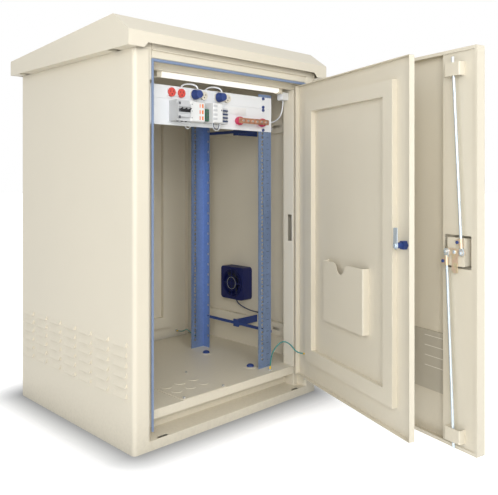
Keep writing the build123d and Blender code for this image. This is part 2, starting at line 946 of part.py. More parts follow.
with BuildPart() as breaker_toggle:
    with Locations((breaker_left + breaker_width / 2, toggle_y, breaker_middle_z)):
        Cylinder(
            toggle_radius,
            breaker_width - 2 * sheet - 2 * joint_clearance,
            rotation=(0, 90, 0),
        )
    for pole in range(3):
        pole_x = breaker_left + (pole + 1 / 2) * module
        rod_between(
            (pole_x, toggle_y, breaker_middle_z),
            (
                pole_x,
                toggle_y - (toggle_radius + toggle_reach) * cos(radians(toggle_turn / 2)),
                breaker_middle_z + (toggle_radius + toggle_reach) * sin(radians(toggle_turn / 2)),
            ),
            toggle_radius / 2,
        )
save(breaker_toggle.part, "breaker_toggle")
with BuildPart() as surge_arrester:
    block(
        (arrester_left, arrester_left + breaker_width),
        (panel_face_y - breaker_depth, panel_face_y),
        (breaker_bottom, breaker_bottom + breaker_height),
    )
    front_edges = surge_arrester.edges().group_by(Axis.Y)[0].filter_by(Axis.X)
    chamfer(front_edges, fold_bend)
save(surge_arrester.part, "surge_arrester")
with BuildPart() as relay_body:
    block(
        (relay_left, relay_left + relay_width),
        (panel_face_y - relay_depth, panel_face_y),
        (breaker_bottom, breaker_bottom + breaker_height),
    )
    front_edges = relay_body.edges().group_by(Axis.Y)[0]
    chamfer(front_edges, fold_bend)
save(relay_body.part, "relay_body")
terminal_left = relay_left + relay_width + fit_gap
with BuildPart() as terminal_block:
    block(
        (terminal_left, terminal_left + terminal_width),
        (panel_face_y - terminal_depth, panel_face_y),
        (breaker_bottom, breaker_bottom + terminal_height),
    )
    with BuildSketch(cut_plane_y(panel_face_y - terminal_depth)):
        with Locations((terminal_left + terminal_width / 2, breaker_bottom + terminal_height / 2)):
            with GridLocations(terminal_width / 4, terminal_height / 2, 4, 2):
                Circle(terminal_width / 12)
    extrude(amount=-terminal_width / 4, mode=Mode.SUBTRACT)
save(terminal_block.part, "terminal_block")

# Copper earth bar on two insulators
bar_back_y = panel_face_y - insulator_height
bar_face_y = bar_back_y - earth_bar_thick
with BuildPart() as earth_insulators:
    for insulator_x in earth_bar_xs:
        with BuildSketch(Plane(origin=(insulator_x, 0, earth_bar_z), z_dir=(0, 0, 1))):
            with BuildLine():
                Polyline(
                    (0, bar_back_y),
                    (0, panel_face_y),
                    (insulator_waist, panel_face_y),
                )
                ThreePointArc(
                    (insulator_waist, panel_face_y),
                    (insulator_radius, (panel_face_y + bar_back_y) / 2),
                    (insulator_waist, bar_back_y),
                )
                Line((insulator_waist, bar_back_y), (0, bar_back_y))
            make_face()
        revolve(axis=Axis((insulator_x, 0, earth_bar_z), (0, 1, 0)))
save(earth_insulators.part, "earth_insulators")
bar_middle_x = sum(earth_bar_xs) / 2
bar_span = earth_bar_xs[1] - earth_bar_xs[0]
with BuildPart() as earth_bar:
    with BuildSketch(cut_plane_y(bar_back_y)):
        with Locations((bar_middle_x, earth_bar_z)):
            RectangleRounded(bar_span + earth_bar_end, earth_bar_height, fold_bend)
    extrude(amount=earth_bar_thick)
save(earth_bar.part, "earth_bar")
with BuildPart() as earth_screws:
    with BuildSketch(cut_plane_y(bar_face_y)):
        with Locations((bar_middle_x, earth_bar_z)):
            with GridLocations(bar_span / (earth_screw_count - 1), bar_span, earth_screw_count, 1):
                Circle(earth_screw_radius)
    extrude(amount=earth_screw_rise)
with BuildPart() as screws:
    add(gland_bolts.part)
    add(panel_screws.part)
    add(earth_screws.part)
save(screws.part, "screws")

# Lamp tube between holders on a channel under the top plate, and its switch
lamp_channel_bottom = lamp_z + lamp_radius + fit_gap
lamp_channel_ys = (
    landing_y + lintel_box + fit_gap,
    landing_y + lintel_box + fit_gap + lamp_channel_width,
)
with BuildPart() as lamp_housing:
    block(
        (-lamp_half - lamp_holder, lamp_half + lamp_holder),
        lamp_channel_ys,
        (lamp_channel_bottom, body_height - sheet),
    )
    block(
        (-lamp_half - lamp_holder + sheet, lamp_half + lamp_holder - sheet),
        (lamp_channel_ys[0] + sheet, lamp_channel_ys[1] - sheet),
        (lamp_channel_bottom + sheet, body_height),
        mode=Mode.SUBTRACT,
    )
    for side in (-1, 1):
        block(
            (side * lamp_half, side * (lamp_half + lamp_holder)),
            (lamp_y - lamp_radius - sheet, lamp_channel_ys[1]),
            (lamp_z - lamp_radius - sheet, lamp_channel_bottom),
        )
save(lamp_housing.part, "lamp_housing")
with BuildPart() as lamp_tube:
    rod_between((-lamp_half, lamp_y, lamp_z), (lamp_half, lamp_y, lamp_z), lamp_radius)
save(lamp_tube.part, "lamp_tube")
switch_y = landing_y + post_depth - switch_depth
with BuildPart() as lamp_switch:
    block(
        (post_x - switch_width, post_x),
        (switch_y, switch_y + switch_depth),
        (switch_top - switch_height, switch_top),
    )
    fillet(lamp_switch.edges().filter_by(Axis.Y), fold_bend)
save(lamp_switch.part, "lamp_switch")
switch_x = post_x - switch_width / 2
switch_bottom = switch_top - switch_height
with BuildPart() as lamp_cable:
    with BuildLine() as cable_path:
        FilletPolyline(
            (switch_x, switch_y + switch_depth / 2, switch_bottom - fit_gap),
            (switch_x, switch_y + switch_depth / 2, switch_bottom - 2 * switch_height),
            (switch_x, rail_front_y + rail_return, switch_bottom - 3 * switch_height),
            (rail_outer + tie_thick + fit_gap, rail_front_y + rail_return, tie_levels[1] + tie_plate),
            radius=switch_depth / 2,
        )
    with BuildSketch(Plane(origin=cable_path.line @ 0, z_dir=cable_path.line % 0)):
        Circle(cable_radius)
    sweep()
save(lamp_cable.part, "lamp_cable")

# Fan: a square frame on the right wall, a rotor and a wire guard
fan_face_x = wall_x - fan_depth
fan_middle = (fan_y, fan_z)
fan_axis_plane = Plane.YZ.offset(fan_face_x)
rotor_start = guard_wire + 2 * joint_clearance
with BuildPart() as fan_frame:
    with BuildSketch(fan_axis_plane):
        with Locations(fan_middle):
            RectangleRounded(fan_size, fan_size, corner_bend)
            Circle(fan_bore, mode=Mode.SUBTRACT)
    extrude(amount=fan_depth)
    with BuildSketch(Plane.YZ.offset(wall_x)):
        with Locations(fan_middle):
            Circle(fan_hub)
            Rectangle(2 * fan_bore + fan_strut, fan_strut)
            Rectangle(fan_strut, 2 * fan_bore + fan_strut)
    extrude(amount=-fan_motor_depth)
save(fan_frame.part, "fan_frame")
with BuildPart() as fan_rotor:
    with BuildSketch(Plane.YZ.offset(fan_face_x + rotor_start)):
        with Locations(fan_middle):
            Circle(fan_hub)
    extrude(amount=fan_depth - rotor_start - fan_motor_depth - joint_clearance)
    blade_x = fan_face_x + fan_depth / 2 - fan_motor_depth / 2
    for blade in range(fan_blades):
        turn = radians(blade * 360 / fan_blades)
        tilt = radians(fan_blade_tilt)
        blade_plane = Plane(
            origin=(blade_x, fan_y, fan_z),
            x_dir=(cos(tilt), -sin(tilt) * sin(turn), sin(tilt) * cos(turn)),
            z_dir=(0, cos(turn), sin(turn)),
        )
        with BuildSketch(blade_plane):
            Rectangle(fan_rotor_depth, fan_blade_thick)
        extrude(amount=fan_bore - fan_tip_gap)
save(fan_rotor.part, "fan_rotor")
with BuildPart() as fan_guard:
    with BuildSketch(fan_axis_plane):
        with Locations(fan_middle):
            for ring in guard_rings:
                Circle(ring + guard_wire)
                Circle(ring - guard_wire, mode=Mode.SUBTRACT)
            Rectangle(fan_size - corner_bend, 2 * guard_wire)
            Rectangle(2 * guard_wire, fan_size - corner_bend)
    extrude(amount=-2 * guard_wire)
save(fan_guard.part, "fan_guard")
fan_bottom = fan_z - fan_size / 2
with BuildPart() as fan_cable:
    with BuildLine() as fan_path:
        FilletPolyline(
            (fan_face_x + fan_depth / 2, fan_y, fan_bottom - fit_gap),
            (fan_face_x + fan_depth / 2, fan_y, fan_bottom - fan_strut * 4),
            (fan_face_x, tie_plate_y - tie_plate, tie_levels[0] + tie_plate),
            (rail_outer + cable_radius + fit_gap, rail_front_y + rail_return / 2, fan_bottom),
            radius=fan_strut * 2,
        )
    with BuildSketch(Plane(origin=fan_path.line @ 0, z_dir=fan_path.line % 0)):
        Circle(cable_radius)
    sweep()
save(fan_cable.part, "fan_cable")

# Rubber seal round the door opening, gripped by the returns
seal_bottom = outer_bottom + outer_lip + sheet
with BuildPart() as door_seal:
    with BuildSketch(cut_plane_y(front_y + seal_grip)):
        with Locations((0, (seal_bottom + lintel_bottom) / 2)):
            Rectangle(opening_width, lintel_bottom - seal_bottom)
        with Locations((0, (seal_bottom + lintel_bottom - seal_width) / 2)):
            Rectangle(
                opening_width - 2 * seal_width,
                lintel_bottom - seal_bottom - seal_width,
                mode=Mode.SUBTRACT,
            )
    extrude(amount=seal_grip + seal_proud)
save(door_seal.part, "door_seal")


# Hinges: fixed halves with their pins, and the knuckles on the doors
def knuckle(axis, radius, pin, low, high):
    """Draw a hinge knuckle with a bore that runs on the pin."""
    rod_between((*axis, low), (*axis, high), radius)
    rod_between(
        (*axis, low - overrun),
        (*axis, high + overrun),
        pin + running_fit,
        mode=Mode.SUBTRACT,
    )


with BuildPart() as inner_hinge_leaves:
    for level in hinge_levels:
        half = level + hinge_length / 2
        with BuildSketch(Plane.XY.offset(level)):
            with Locations(inner_axis):
                Circle(inner_knuckle_radius)
        extrude(amount=hinge_length / 2)
        block(
            (inner_axis[0], half_open),
            (inner_axis[1] - hinge_leaf / 2, inner_axis[1] + hinge_leaf / 2),
            (level, half),
        )
        with BuildSketch(Plane.XY.offset(half)):
            with Locations(inner_axis):
                Circle(inner_pin_radius)
        extrude(amount=hinge_length / 2)
with BuildPart() as outer_hinge_leaves:
    for level in hinge_levels:
        half = level + hinge_length / 2
        with BuildSketch(Plane.XY.offset(level)):
            with Locations(outer_axis):
                Circle(outer_knuckle_radius)
        extrude(amount=hinge_length / 2)
        block(
            (outer_axis[0], outer_axis[0] + outer_knuckle_radius),
            (outer_axis[1], front_y),
            (level, half),
        )
        block(
            (outer_axis[0], outer_axis[0] + hinge_leaf_width - corner_bend / 2),
            (front_y - hinge_leaf, front_y),
            (level, half),
        )
        with BuildSketch(Plane.XY.offset(half)):
            with Locations(outer_axis):
                Circle(outer_pin_radius)
        extrude(amount=hinge_length / 2)
with BuildPart() as hinge_leaves:
    add(inner_hinge_leaves.part)
    add(outer_hinge_leaves.part)
save(hinge_leaves.part, "hinge_leaves")

# Inner door: a shallow pan with its knuckles
with BuildPart() as inner_door_pan:
    block(
        (-inner_half, inner_half),
        (inner_face_y, inner_back_y),
        (inner_bottom, inner_top),
    )
    fillet(inner_door_pan.edges().filter_by(Axis.Y), fold_bend)
    block(
        (-inner_half + sheet, inner_half - sheet),
        (inner_face_y + sheet, inner_back_y + overrun),
        (inner_bottom + sheet, inner_top - sheet),
        mode=Mode.SUBTRACT,
    )
    for level in hinge_levels:
        low = level + hinge_length / 2 + joint_clearance
        high = level + hinge_length
        block(
            (inner_axis[0] - 2 * inner_knuckle_radius, inner_axis[0]),
            (inner_axis[1] - hinge_leaf / 2, inner_face_y),
            (low, high),
        )
        knuckle(inner_axis, inner_knuckle_radius, inner_pin_radius, low, high)
    with BuildSketch(cut_plane_y(inner_back_y)):
        with Locations((latch_inset - inner_half, latch_height)):
            Circle(latch_barrel)
    extrude(amount=inner_pan + overrun, mode=Mode.SUBTRACT)
save_swung(inner_door_pan.part, "inner_door_pan", inner_hinge_line, inner_open)
inner_plate_y = inner_face_y + sheet
save_swung(stiffener(inner_plate_y, 1), "inner_stiffener", inner_hinge_line, inner_open)

# Document pocket with a finger notch
with BuildPart() as document_pocket:
    block(
        (-pocket_width / 2, pocket_width / 2),
        (inner_plate_y, inner_plate_y + pocket_depth),
        (pocket_bottom, pocket_top),
    )
    fillet(document_pocket.edges().group_by(Axis.Y)[-1].filter_by(Axis.Z), fold_bend)
    block(
        (-pocket_width / 2 + sheet, pocket_width / 2 - sheet),
        (inner_plate_y - overrun, inner_plate_y + pocket_depth - sheet),
        (pocket_bottom + sheet, pocket_top + overrun),
        mode=Mode.SUBTRACT,
    )
    with BuildSketch(cut_plane_y(inner_plate_y + pocket_depth + overrun)):
        with BuildLine():
            notch_left = (notch_shift - notch_half, pocket_top)
            notch_low = (notch_shift, pocket_top - notch_depth)
            notch_right = (notch_shift + notch_half, pocket_top)
            left_bend = (notch_shift - notch_half / 2, pocket_top - notch_depth / 2)
            right_bend = (notch_shift + notch_half / 2, pocket_top - notch_depth / 2)
            TangentArc(notch_left, left_bend, tangent=(1, 0))
            TangentArc(notch_low, left_bend, tangent=(-1, 0))
            TangentArc(notch_low, right_bend, tangent=(1, 0))
            TangentArc(notch_right, right_bend, tangent=(-1, 0))
            Polyline(
                notch_right,
                (notch_shift + notch_half, pocket_top + overrun),
                (notch_shift - notch_half, pocket_top + overrun),
                notch_left,
            )
        make_face()
    extrude(amount=sheet + 2 * overrun, mode=Mode.SUBTRACT)
save_swung(document_pocket.part, "document_pocket", inner_hinge_line, inner_open)

# Latch on the inner door: a barrel held by a hex nut, and a turning lever
latch_x = latch_inset - inner_half
lever_y = landing_y + strike_setback + strike_width / 2 - lever_thick / 2
with BuildPart() as latch_barrel_nut:
    rod_between(
        (latch_x, inner_face_y - sheet / 2, latch_height),
        (latch_x, inner_face_y, latch_height),
        latch_face,
    )
    rod_between(
        (latch_x, inner_face_y, latch_height),
        (latch_x, lever_y - joint_clearance, latch_height),
        latch_barrel - fit_gap / 2,
    )
    with BuildSketch(cut_plane_y(inner_plate_y)):
        with Locations((latch_x, latch_height)):
            RegularPolygon(latch_hex, 6)
    extrude(amount=inner_face_y - inner_back_y + lever_thick)
save_swung(latch_barrel_nut.part, "latch_barrel_nut", inner_hinge_line, inner_open)
with BuildPart() as latch_lever:
    with BuildSketch(cut_plane_y(lever_y)):
        with Locations((latch_x, latch_height)):
            Circle(lever_width / 2 + sheet)
        with Locations((latch_x, latch_height + lever_length / 2)):
            RectangleRounded(lever_width, lever_length, fold_bend)
    extrude(amount=-lever_thick)
    with BuildSketch(cut_plane_y(lever_y + lever_thick)):
        with Locations((latch_x, latch_height)):
            RegularPolygon(lever_width / 3, 6)
    extrude(amount=-lever_thick)
save_swung(latch_lever.part, "latch_lever", inner_hinge_line, inner_open)

# Outer door: a deep pan with lips, knuckles and louvres in its skin
with BuildPart() as outer_door_pan:
    block(
        (-outer_half, outer_half),
        (outer_skin_y, outer_back_y),
        (outer_bottom, outer_top),
    )
    fillet(outer_door_pan.edges().filter_by(Axis.Y), fold_bend)
    block(
        (-outer_half + sheet, outer_half - sheet),
        (outer_skin_y + sheet, outer_back_y - sheet),
        (outer_bottom + sheet, outer_top - sheet),
        mode=Mode.SUBTRACT,
    )
    block(
        (-outer_half + outer_lip, outer_half - outer_lip),
        (outer_back_y - sheet - overrun, outer_back_y + overrun),
        (outer_bottom + outer_lip, outer_top - outer_lip),
        mode=Mode.SUBTRACT,
    )
    for level in hinge_levels:
        low = level + hinge_length / 2 + joint_clearance
        high = level + hinge_length
        block(
            (outer_half, outer_axis[0]),
            (outer_axis[1] - outer_knuckle_radius, outer_axis[1]),
            (low, high),
        )
        knuckle(outer_axis, outer_knuckle_radius, outer_pin_radius, low, high)
    for column in range(door_louvre_columns):
        along = (column - (door_louvre_columns - 1) / 2) * louvre_pitch_along
        louvre_rows_at(Plane.YZ.offset(along), outer_skin_y, door_louvre_base, -1, louvre_rows)
    with BuildSketch(cut_plane_y(outer_skin_y + sheet + overrun)):
        with Locations((cam_x, cam_height)):
            Circle(spindle_radius + joint_clearance)
    extrude(amount=sheet + 2 * overrun, mode=Mode.SUBTRACT)
save_swung(outer_door_pan.part, "outer_door_pan", outer_hinge_line, outer_open)

# Closing stile: a channel along the free edge with the lock window
stile_left = -outer_half + sheet
stile_right = stile_left + stile_width
with BuildPart() as closing_stile:
    block(
        (stile_left, stile_right),
        (outer_skin_y + sheet, stile_face_y),
        (outer_bottom + sheet, outer_top - sheet),
    )
    block(
        (stile_left - overrun, stile_right - sheet),
        (outer_skin_y, stile_face_y - sheet),
        (outer_bottom, outer_top),
        mode=Mode.SUBTRACT,
    )
    with BuildSketch(cut_plane_y(stile_face_y + overrun)):
        with Locations((cam_x, cam_height)):
            RectangleRounded(window_width, window_height, fold_bend)
    extrude(amount=sheet + 2 * overrun, mode=Mode.SUBTRACT)
    for level in (guide_low, guide_high):
        with BuildSketch(Plane.XY.offset(level - guide_height / 2)):
            folded(
                [
                    (guide_x - guide_width / 2, stile_face_y),
                    (guide_x - guide_width / 2, bridge_y + sheet),
                    (guide_x + guide_width / 2, bridge_y + sheet),
                    (guide_x + guide_width / 2, stile_face_y),
                ],
                fold_bend,
                Side.RIGHT,
            )
        extrude(amount=guide_height)
save_swung(closing_stile.part, "closing_stile", outer_hinge_line, outer_open)

# Vent plate with slits over the door louvres
vent_right = -stile_right
with BuildPart() as vent_mesh:
    block(
        (stile_right, vent_right),
        (outer_skin_y + sheet, outer_skin_y + sheet + 2 * vent_plate),
        (vent_bottom, vent_top),
    )
    block(
        (stile_right + sheet, vent_right - sheet),
        (outer_skin_y + sheet, outer_skin_y + sheet + vent_plate),
        (vent_bottom + sheet, vent_top - sheet),
        mode=Mode.SUBTRACT,
    )
    with BuildSketch(cut_plane_y(outer_skin_y + sheet + 2 * vent_plate + overrun)):
        with Locations((0, door_louvre_base + (louvre_rows - 1) * louvre_pitch_up / 2)):
            with GridLocations(louvre_pitch_along, louvre_pitch_up, door_louvre_columns, louvre_rows):
                Rectangle(louvre_pitch_along - vent_border, vent_slit)
    extrude(amount=2 * vent_plate + 2 * overrun, mode=Mode.SUBTRACT)
save_swung(vent_mesh.part, "vent_mesh", outer_hinge_line, outer_open)

# Lock body in the window, with the cam on its spindle and the outside handle
with BuildPart() as lock_body:
    block(
        (cam_x - lock_body_width / 2, cam_x + lock_body_width / 2),
        (outer_skin_y + sheet, lock_face_y),
        (cam_height - lock_body_height / 2, cam_height + lock_body_height / 2),
    )
    fillet(lock_body.edges().filter_by(Axis.Y), fold_bend)
    with BuildSketch(cut_plane_y(lock_face_y + overrun)):
        with Locations((cam_x, cam_height)):
            Circle(spindle_radius + joint_clearance)
    extrude(amount=lock_face_y - outer_skin_y + overrun, mode=Mode.SUBTRACT)
save_swung(lock_body.part, "lock_body", outer_hinge_line, outer_open)
escutcheon_y = outer_skin_y - escutcheon_thick
with BuildPart() as lock_cam:
    with BuildSketch(cut_plane_y(cam_back_y)):
        with Locations((cam_x, cam_height)):
            SlotCenterToCenter(2 * crank_radius, cam_bar)
        with Locations((cam_x, cam_height - cam_tongue / 2)):
            RectangleRounded(cam_bar, cam_tongue, fold_bend)
    extrude(amount=-cam_plate)
    rod_between(
        (cam_x, escutcheon_y - handle_neck, cam_height),
        (cam_x, cam_back_y + cam_plate + overrun, cam_height),
        spindle_radius,
    )
    for side in (-1, 1):
        crank_x = cam_x + side * crank_radius
        rod_between(
            (crank_x, cam_back_y, cam_height),
            (crank_x, rod_y + rod_eye_thick / 2 + fit_gap, cam_height),
            crank_pin_radius,
        )
        rod_between(
            (crank_x, rod_y + rod_eye_thick / 2 + fit_gap, cam_height),
            (crank_x, rod_y + rod_eye_thick / 2 + fit_gap + crank_head_thick, cam_height),
            crank_head_radius,
        )
save_swung(lock_cam.part, "lock_cam", outer_hinge_line, outer_open)


def lock_rod(crank_x, guide_level, tip_level):
    """Draw a lock rod from its crank pin through its guide."""
    run = Vector(guide_x - crank_x, 0, guide_level - cam_height)
    reach = run * ((tip_level - cam_height) / run.Z)
    tip = Vector(crank_x, rod_y, cam_height) + reach
    along = run.normalized() * (cam_bar / 2 + rod_radius)
    neck = Vector(crank_x, rod_y, cam_height) + along
    with BuildPart() as rod:
        rod_between(tuple(neck), tuple(tip), rod_radius)
        with BuildSketch(cut_plane_y(rod_y - rod_eye_thick / 2)):
            with Locations((crank_x, cam_height)):
                Circle(rod_eye_radius)
            with Locations((neck.X + along.X / 2, neck.Z + along.Z / 2)):
                Circle(rod_radius)
            make_hull()
        extrude(amount=-rod_eye_thick)
        with BuildSketch(cut_plane_y(rod_y - rod_radius - overrun)):
            with Locations((crank_x, cam_height)):
                Circle(crank_pin_radius + running_fit)
        extrude(amount=-2 * (rod_radius + overrun), mode=Mode.SUBTRACT)
    return rod.part


upper_rod = lock_rod(cam_x - crank_radius, guide_high, rod_high_tip)
lower_rod = lock_rod(cam_x + crank_radius, guide_low, rod_low_tip)
save_swung(upper_rod, "upper_rod", outer_hinge_line, outer_open)
save_swung(lower_rod, "lower_rod", outer_hinge_line, outer_open)
with BuildPart() as escutcheon:
    with BuildSketch(cut_plane_y(outer_skin_y)):
        with Locations((cam_x, cam_height)):
            RectangleRounded(escutcheon_width, escutcheon_height, corner_bend)
            Circle(spindle_radius + joint_clearance, mode=Mode.SUBTRACT)
    extrude(amount=escutcheon_thick)
save_swung(escutcheon.part, "escutcheon", outer_hinge_line, outer_open)
handle_y = escutcheon_y - joint_clearance
with BuildPart() as door_handle:
    with BuildSketch(cut_plane_y(handle_y)):
        with Locations((cam_x, cam_height)):
            Circle(handle_hub)
    extrude(amount=handle_neck)
    with BuildSketch(cut_plane_y(handle_y - handle_neck)):
        with Locations((cam_x, cam_height - handle_length / 2 + handle_hub)):
            RectangleRounded(handle_width, handle_length, handle_thick - overrun)
    extrude(amount=handle_thick)
    fillet(door_handle.edges().group_by(Axis.Y)[0], fold_bend / 2)
    with BuildSketch(cut_plane_y(handle_y + overrun)):
        with Locations((cam_x, cam_height)):
            Circle(spindle_radius)
    extrude(amount=handle_neck - joint_clearance + overrun, mode=Mode.SUBTRACT)
save_swung(door_handle.part, "door_handle", outer_hinge_line, outer_open)


# Earth straps with their end bolts
def swung_point(point, axis, angle):
    """Turn a shut place about a hinge line to its open place."""
    turn = radians(angle)
    dx = point[0] - axis[0]
    dy = point[1] - axis[1]
    return (
        axis[0] + dx * cos(turn) - dy * sin(turn),
        axis[1] + dx * sin(turn) + dy * cos(turn),
        point[2],
    )


strap_end_shut = (inner_half - strap_door_inset, inner_plate_y, strap_door_z)
strap_end = swung_point(strap_end_shut, inner_axis, inner_open)
strap_end_way = swung_point((0, -1, 0), (0, 0), inner_open)
strap_middle = (
    (strap_floor_x + strap_end[0]) / 2,
    (strap_floor_y + strap_end[1]) / 2,
    strap_door_z + strap_rise,
)
with BuildPart() as door_strap:
    with BuildLine() as strap_path:
        Spline(
            (strap_floor_x, strap_floor_y, floor_top),
            strap_middle,
            strap_end,
            tangents=((0, 0, 1), strap_end_way),
        )
    with BuildSketch(Plane(origin=strap_path.line @ 0, z_dir=strap_path.line % 0)):
        Circle(strap_radius)
    sweep()
save(door_strap.part, "door_strap")
rear_strap_x = rail_outer + tie_plate
rear_strap_y = rear_plate_y - sheet
rear_strap_z = stiffener_bottom - tie_plate
with BuildPart() as rear_strap:
    with BuildLine() as rear_path:
        Spline(
            (rear_strap_x, rear_strap_y, rear_strap_z),
            (rear_strap_x - tie_plate, (rear_strap_y + rail_rear_y) / 2, rear_strap_z + tie_plate),
            (rail_outer - tie_plate / 2, rail_rear_y, rear_strap_z + tie_plate / 2),
            tangents=((0, -1, 0), (0, -1, 0)),
        )
    with BuildSketch(Plane(origin=rear_path.line @ 0, z_dir=rear_path.line % 0)):
        Circle(strap_radius)
    sweep()
save(rear_strap.part, "rear_strap")
for name, path in (
    ("door strap", strap_path),
    ("rear strap", rear_path),
    ("lamp cable", cable_path),
    ("fan cable", fan_path),
    ("plug cord", cord_path),
):
    print(name, "length", round(sum(edge.length for edge in path.edges())))
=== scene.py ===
"""Dresses the roadside utility cabinet and sets it in a pale studio.

Metres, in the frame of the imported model: X runs right along the front, Y runs to
the back and Z is up. Both doors stand open, as in the photograph.
"""

import json
from math import cos, pi, radians, sin, tau

import bmesh
import bpy
from mathutils import Matrix, Vector


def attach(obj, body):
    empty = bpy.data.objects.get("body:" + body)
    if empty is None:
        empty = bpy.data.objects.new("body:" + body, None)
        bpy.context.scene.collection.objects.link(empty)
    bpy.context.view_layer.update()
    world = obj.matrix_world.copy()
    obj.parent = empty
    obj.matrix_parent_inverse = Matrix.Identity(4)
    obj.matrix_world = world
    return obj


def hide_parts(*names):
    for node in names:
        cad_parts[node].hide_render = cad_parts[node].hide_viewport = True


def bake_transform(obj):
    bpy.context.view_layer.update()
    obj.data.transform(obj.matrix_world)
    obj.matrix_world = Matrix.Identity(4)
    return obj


bl_info = {
    "name": "Roadside utility cabinet",
    "version": (1, 0, 0),
    "blender": (4, 5, 0),
    "location": "View3D > Sidebar > Cabinet",
    "description": "Finishes, small fittings, cables and studio of a roadside cabinet",
    "category": "Object",
}

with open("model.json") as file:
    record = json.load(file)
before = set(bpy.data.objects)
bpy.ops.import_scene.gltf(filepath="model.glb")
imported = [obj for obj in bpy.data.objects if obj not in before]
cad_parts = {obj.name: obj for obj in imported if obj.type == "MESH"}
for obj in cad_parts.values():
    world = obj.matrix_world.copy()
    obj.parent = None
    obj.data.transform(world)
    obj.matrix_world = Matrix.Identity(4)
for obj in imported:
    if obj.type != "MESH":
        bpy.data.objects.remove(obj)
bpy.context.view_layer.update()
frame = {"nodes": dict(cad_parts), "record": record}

OUTER_HINGE = Vector((0.398, -0.396, 0.0))
OUTER_OPEN = radians(76.5)
LOCK_CENTRE = Vector((0.210433, -1.087315, 0.627))
ROD_EYE_OFFSET = 0.028

DOUBLES = 2e-6
SPIN_DOUBLES = 1e-6
FLAT_ANGLE = radians(0.5)
SOFT_ANGLE = radians(35.0)
SHARP_ANGLE = radians(40.0)

MIRRORED_RAYS = ("Is Glossy Ray", "Is Transmission Ray")

TO_FRONT = (0, -1, 0)
UPWARD = (0, 0, 1)
DOWNWARD = (0, 0, -1)


# Settings that a user would change


class CabinetColours(bpy.types.PropertyGroup):
    """Colours of the paints, plastics and wires."""

    paint: bpy.props.FloatVectorProperty(
        name="Paint",
        description="Cream powder coat on the sheet metal",
        subtype="COLOR",
        default=(0.73, 0.672, 0.545),
    )
    panel: bpy.props.FloatVectorProperty(
        name="Panel paint",
        description="Pale grey coat on the rack panels",
        subtype="COLOR",
        default=(0.78, 0.80, 0.82),
    )
    rail: bpy.props.FloatVectorProperty(
        name="Rail zinc",
        description="Blue zinc on the rack rails",
        subtype="COLOR",
        default=(0.27, 0.37, 0.60),
    )
    tie: bpy.props.FloatVectorProperty(
        name="Dark blue",
        description="Dark blue coat on ties, plugs and fan",
        subtype="COLOR",
        default=(0.022, 0.05, 0.20),
    )
    seal: bpy.props.FloatVectorProperty(
        name="Seal",
        description="Rubber of the door seal",
        subtype="COLOR",
        default=(0.19, 0.25, 0.38),
    )
    socket_red: bpy.props.FloatVectorProperty(
        name="Red sockets",
        description="Plastic of the marked sockets",
        subtype="COLOR",
        default=(0.68, 0.075, 0.06),
    )
    insulator: bpy.props.FloatVectorProperty(
        name="Insulators",
        description="Moulded insulators of the earth bar",
        subtype="COLOR",
        default=(0.60, 0.03, 0.10),
    )
    earth_wire: bpy.props.FloatVectorProperty(
        name="Earth wire",
        description="Sleeve of the earth straps",
        subtype="COLOR",
        default=(0.03, 0.24, 0.22),
    )
    wire: bpy.props.FloatVectorProperty(
        name="White wire",
        description="Sleeve of the cords and loops",
        subtype="COLOR",
        default=(0.72, 0.74, 0.77),
    )


class CabinetSizes(bpy.types.PropertyGroup):
    """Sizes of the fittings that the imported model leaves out."""

    strap_radius: bpy.props.FloatProperty(
        name="Strap radius",
        description="Half the thickness of the earth straps",
        unit="LENGTH",
        default=0.0022,
    )
    cord_radius: bpy.props.FloatProperty(
        name="Plug cord radius",
        description="Half the thickness of the plug cords",
        unit="LENGTH",
        default=0.003,
    )
    cable_radius: bpy.props.FloatProperty(
        name="Cable radius",
        description="Half the thickness of the lamp and fan cables",
        unit="LENGTH",
        default=0.0025,
    )
    wire_radius: bpy.props.FloatProperty(
        name="Wire radius",
        description="Half the thickness of the wires at the devices",
        unit="LENGTH",
        default=0.0012,
    )
    rack_unit: bpy.props.FloatProperty(
        name="Rack unit",
        description="Pitch of the marks on the rack rails",
        unit="LENGTH",
        default=0.04445,
    )
    edge: bpy.props.FloatProperty(
        name="Edge",
        description="Rounding of the edges of moulded pieces",
        unit="LENGTH",
        default=0.0012,
    )


class CabinetStage(bpy.types.PropertyGroup):
    """Camera and light."""

    lens: bpy.props.FloatProperty(
        name="Lens",
        description="Focal length of the camera on a 36 mm sensor",
        subtype="DISTANCE_CAMERA",
        default=45.3,
    )
    heading: bpy.props.FloatProperty(
        name="Heading",
        description="Turn of the camera from the front towards the right",
        subtype="ANGLE",
        default=radians(44.454),
    )
    eye: bpy.props.FloatVectorProperty(
        name="Eye",
        description="Place of the camera",
        subtype="XYZ",
        default=(-1.5076, -1.9796, 0.8465),
    )
    key: bpy.props.FloatProperty(
        name="Key light",
        description="Power of the lamp at the front",
        default=57.0,
    )
    fill: bpy.props.FloatProperty(
        name="Fill light",
        description="Power of the large lamp at the left",
        default=23.0,
    )
    near_eye: bpy.props.FloatProperty(
        name="Eye light",
        description="Power of the lamp beside the camera",
        default=50.0,
    )


def colours():
    """Colours that the sidebar holds."""
    return bpy.context.scene.cabinet_colours


def sizes():
    """Sizes that the sidebar holds."""
    return bpy.context.scene.cabinet_sizes


# Shader maths


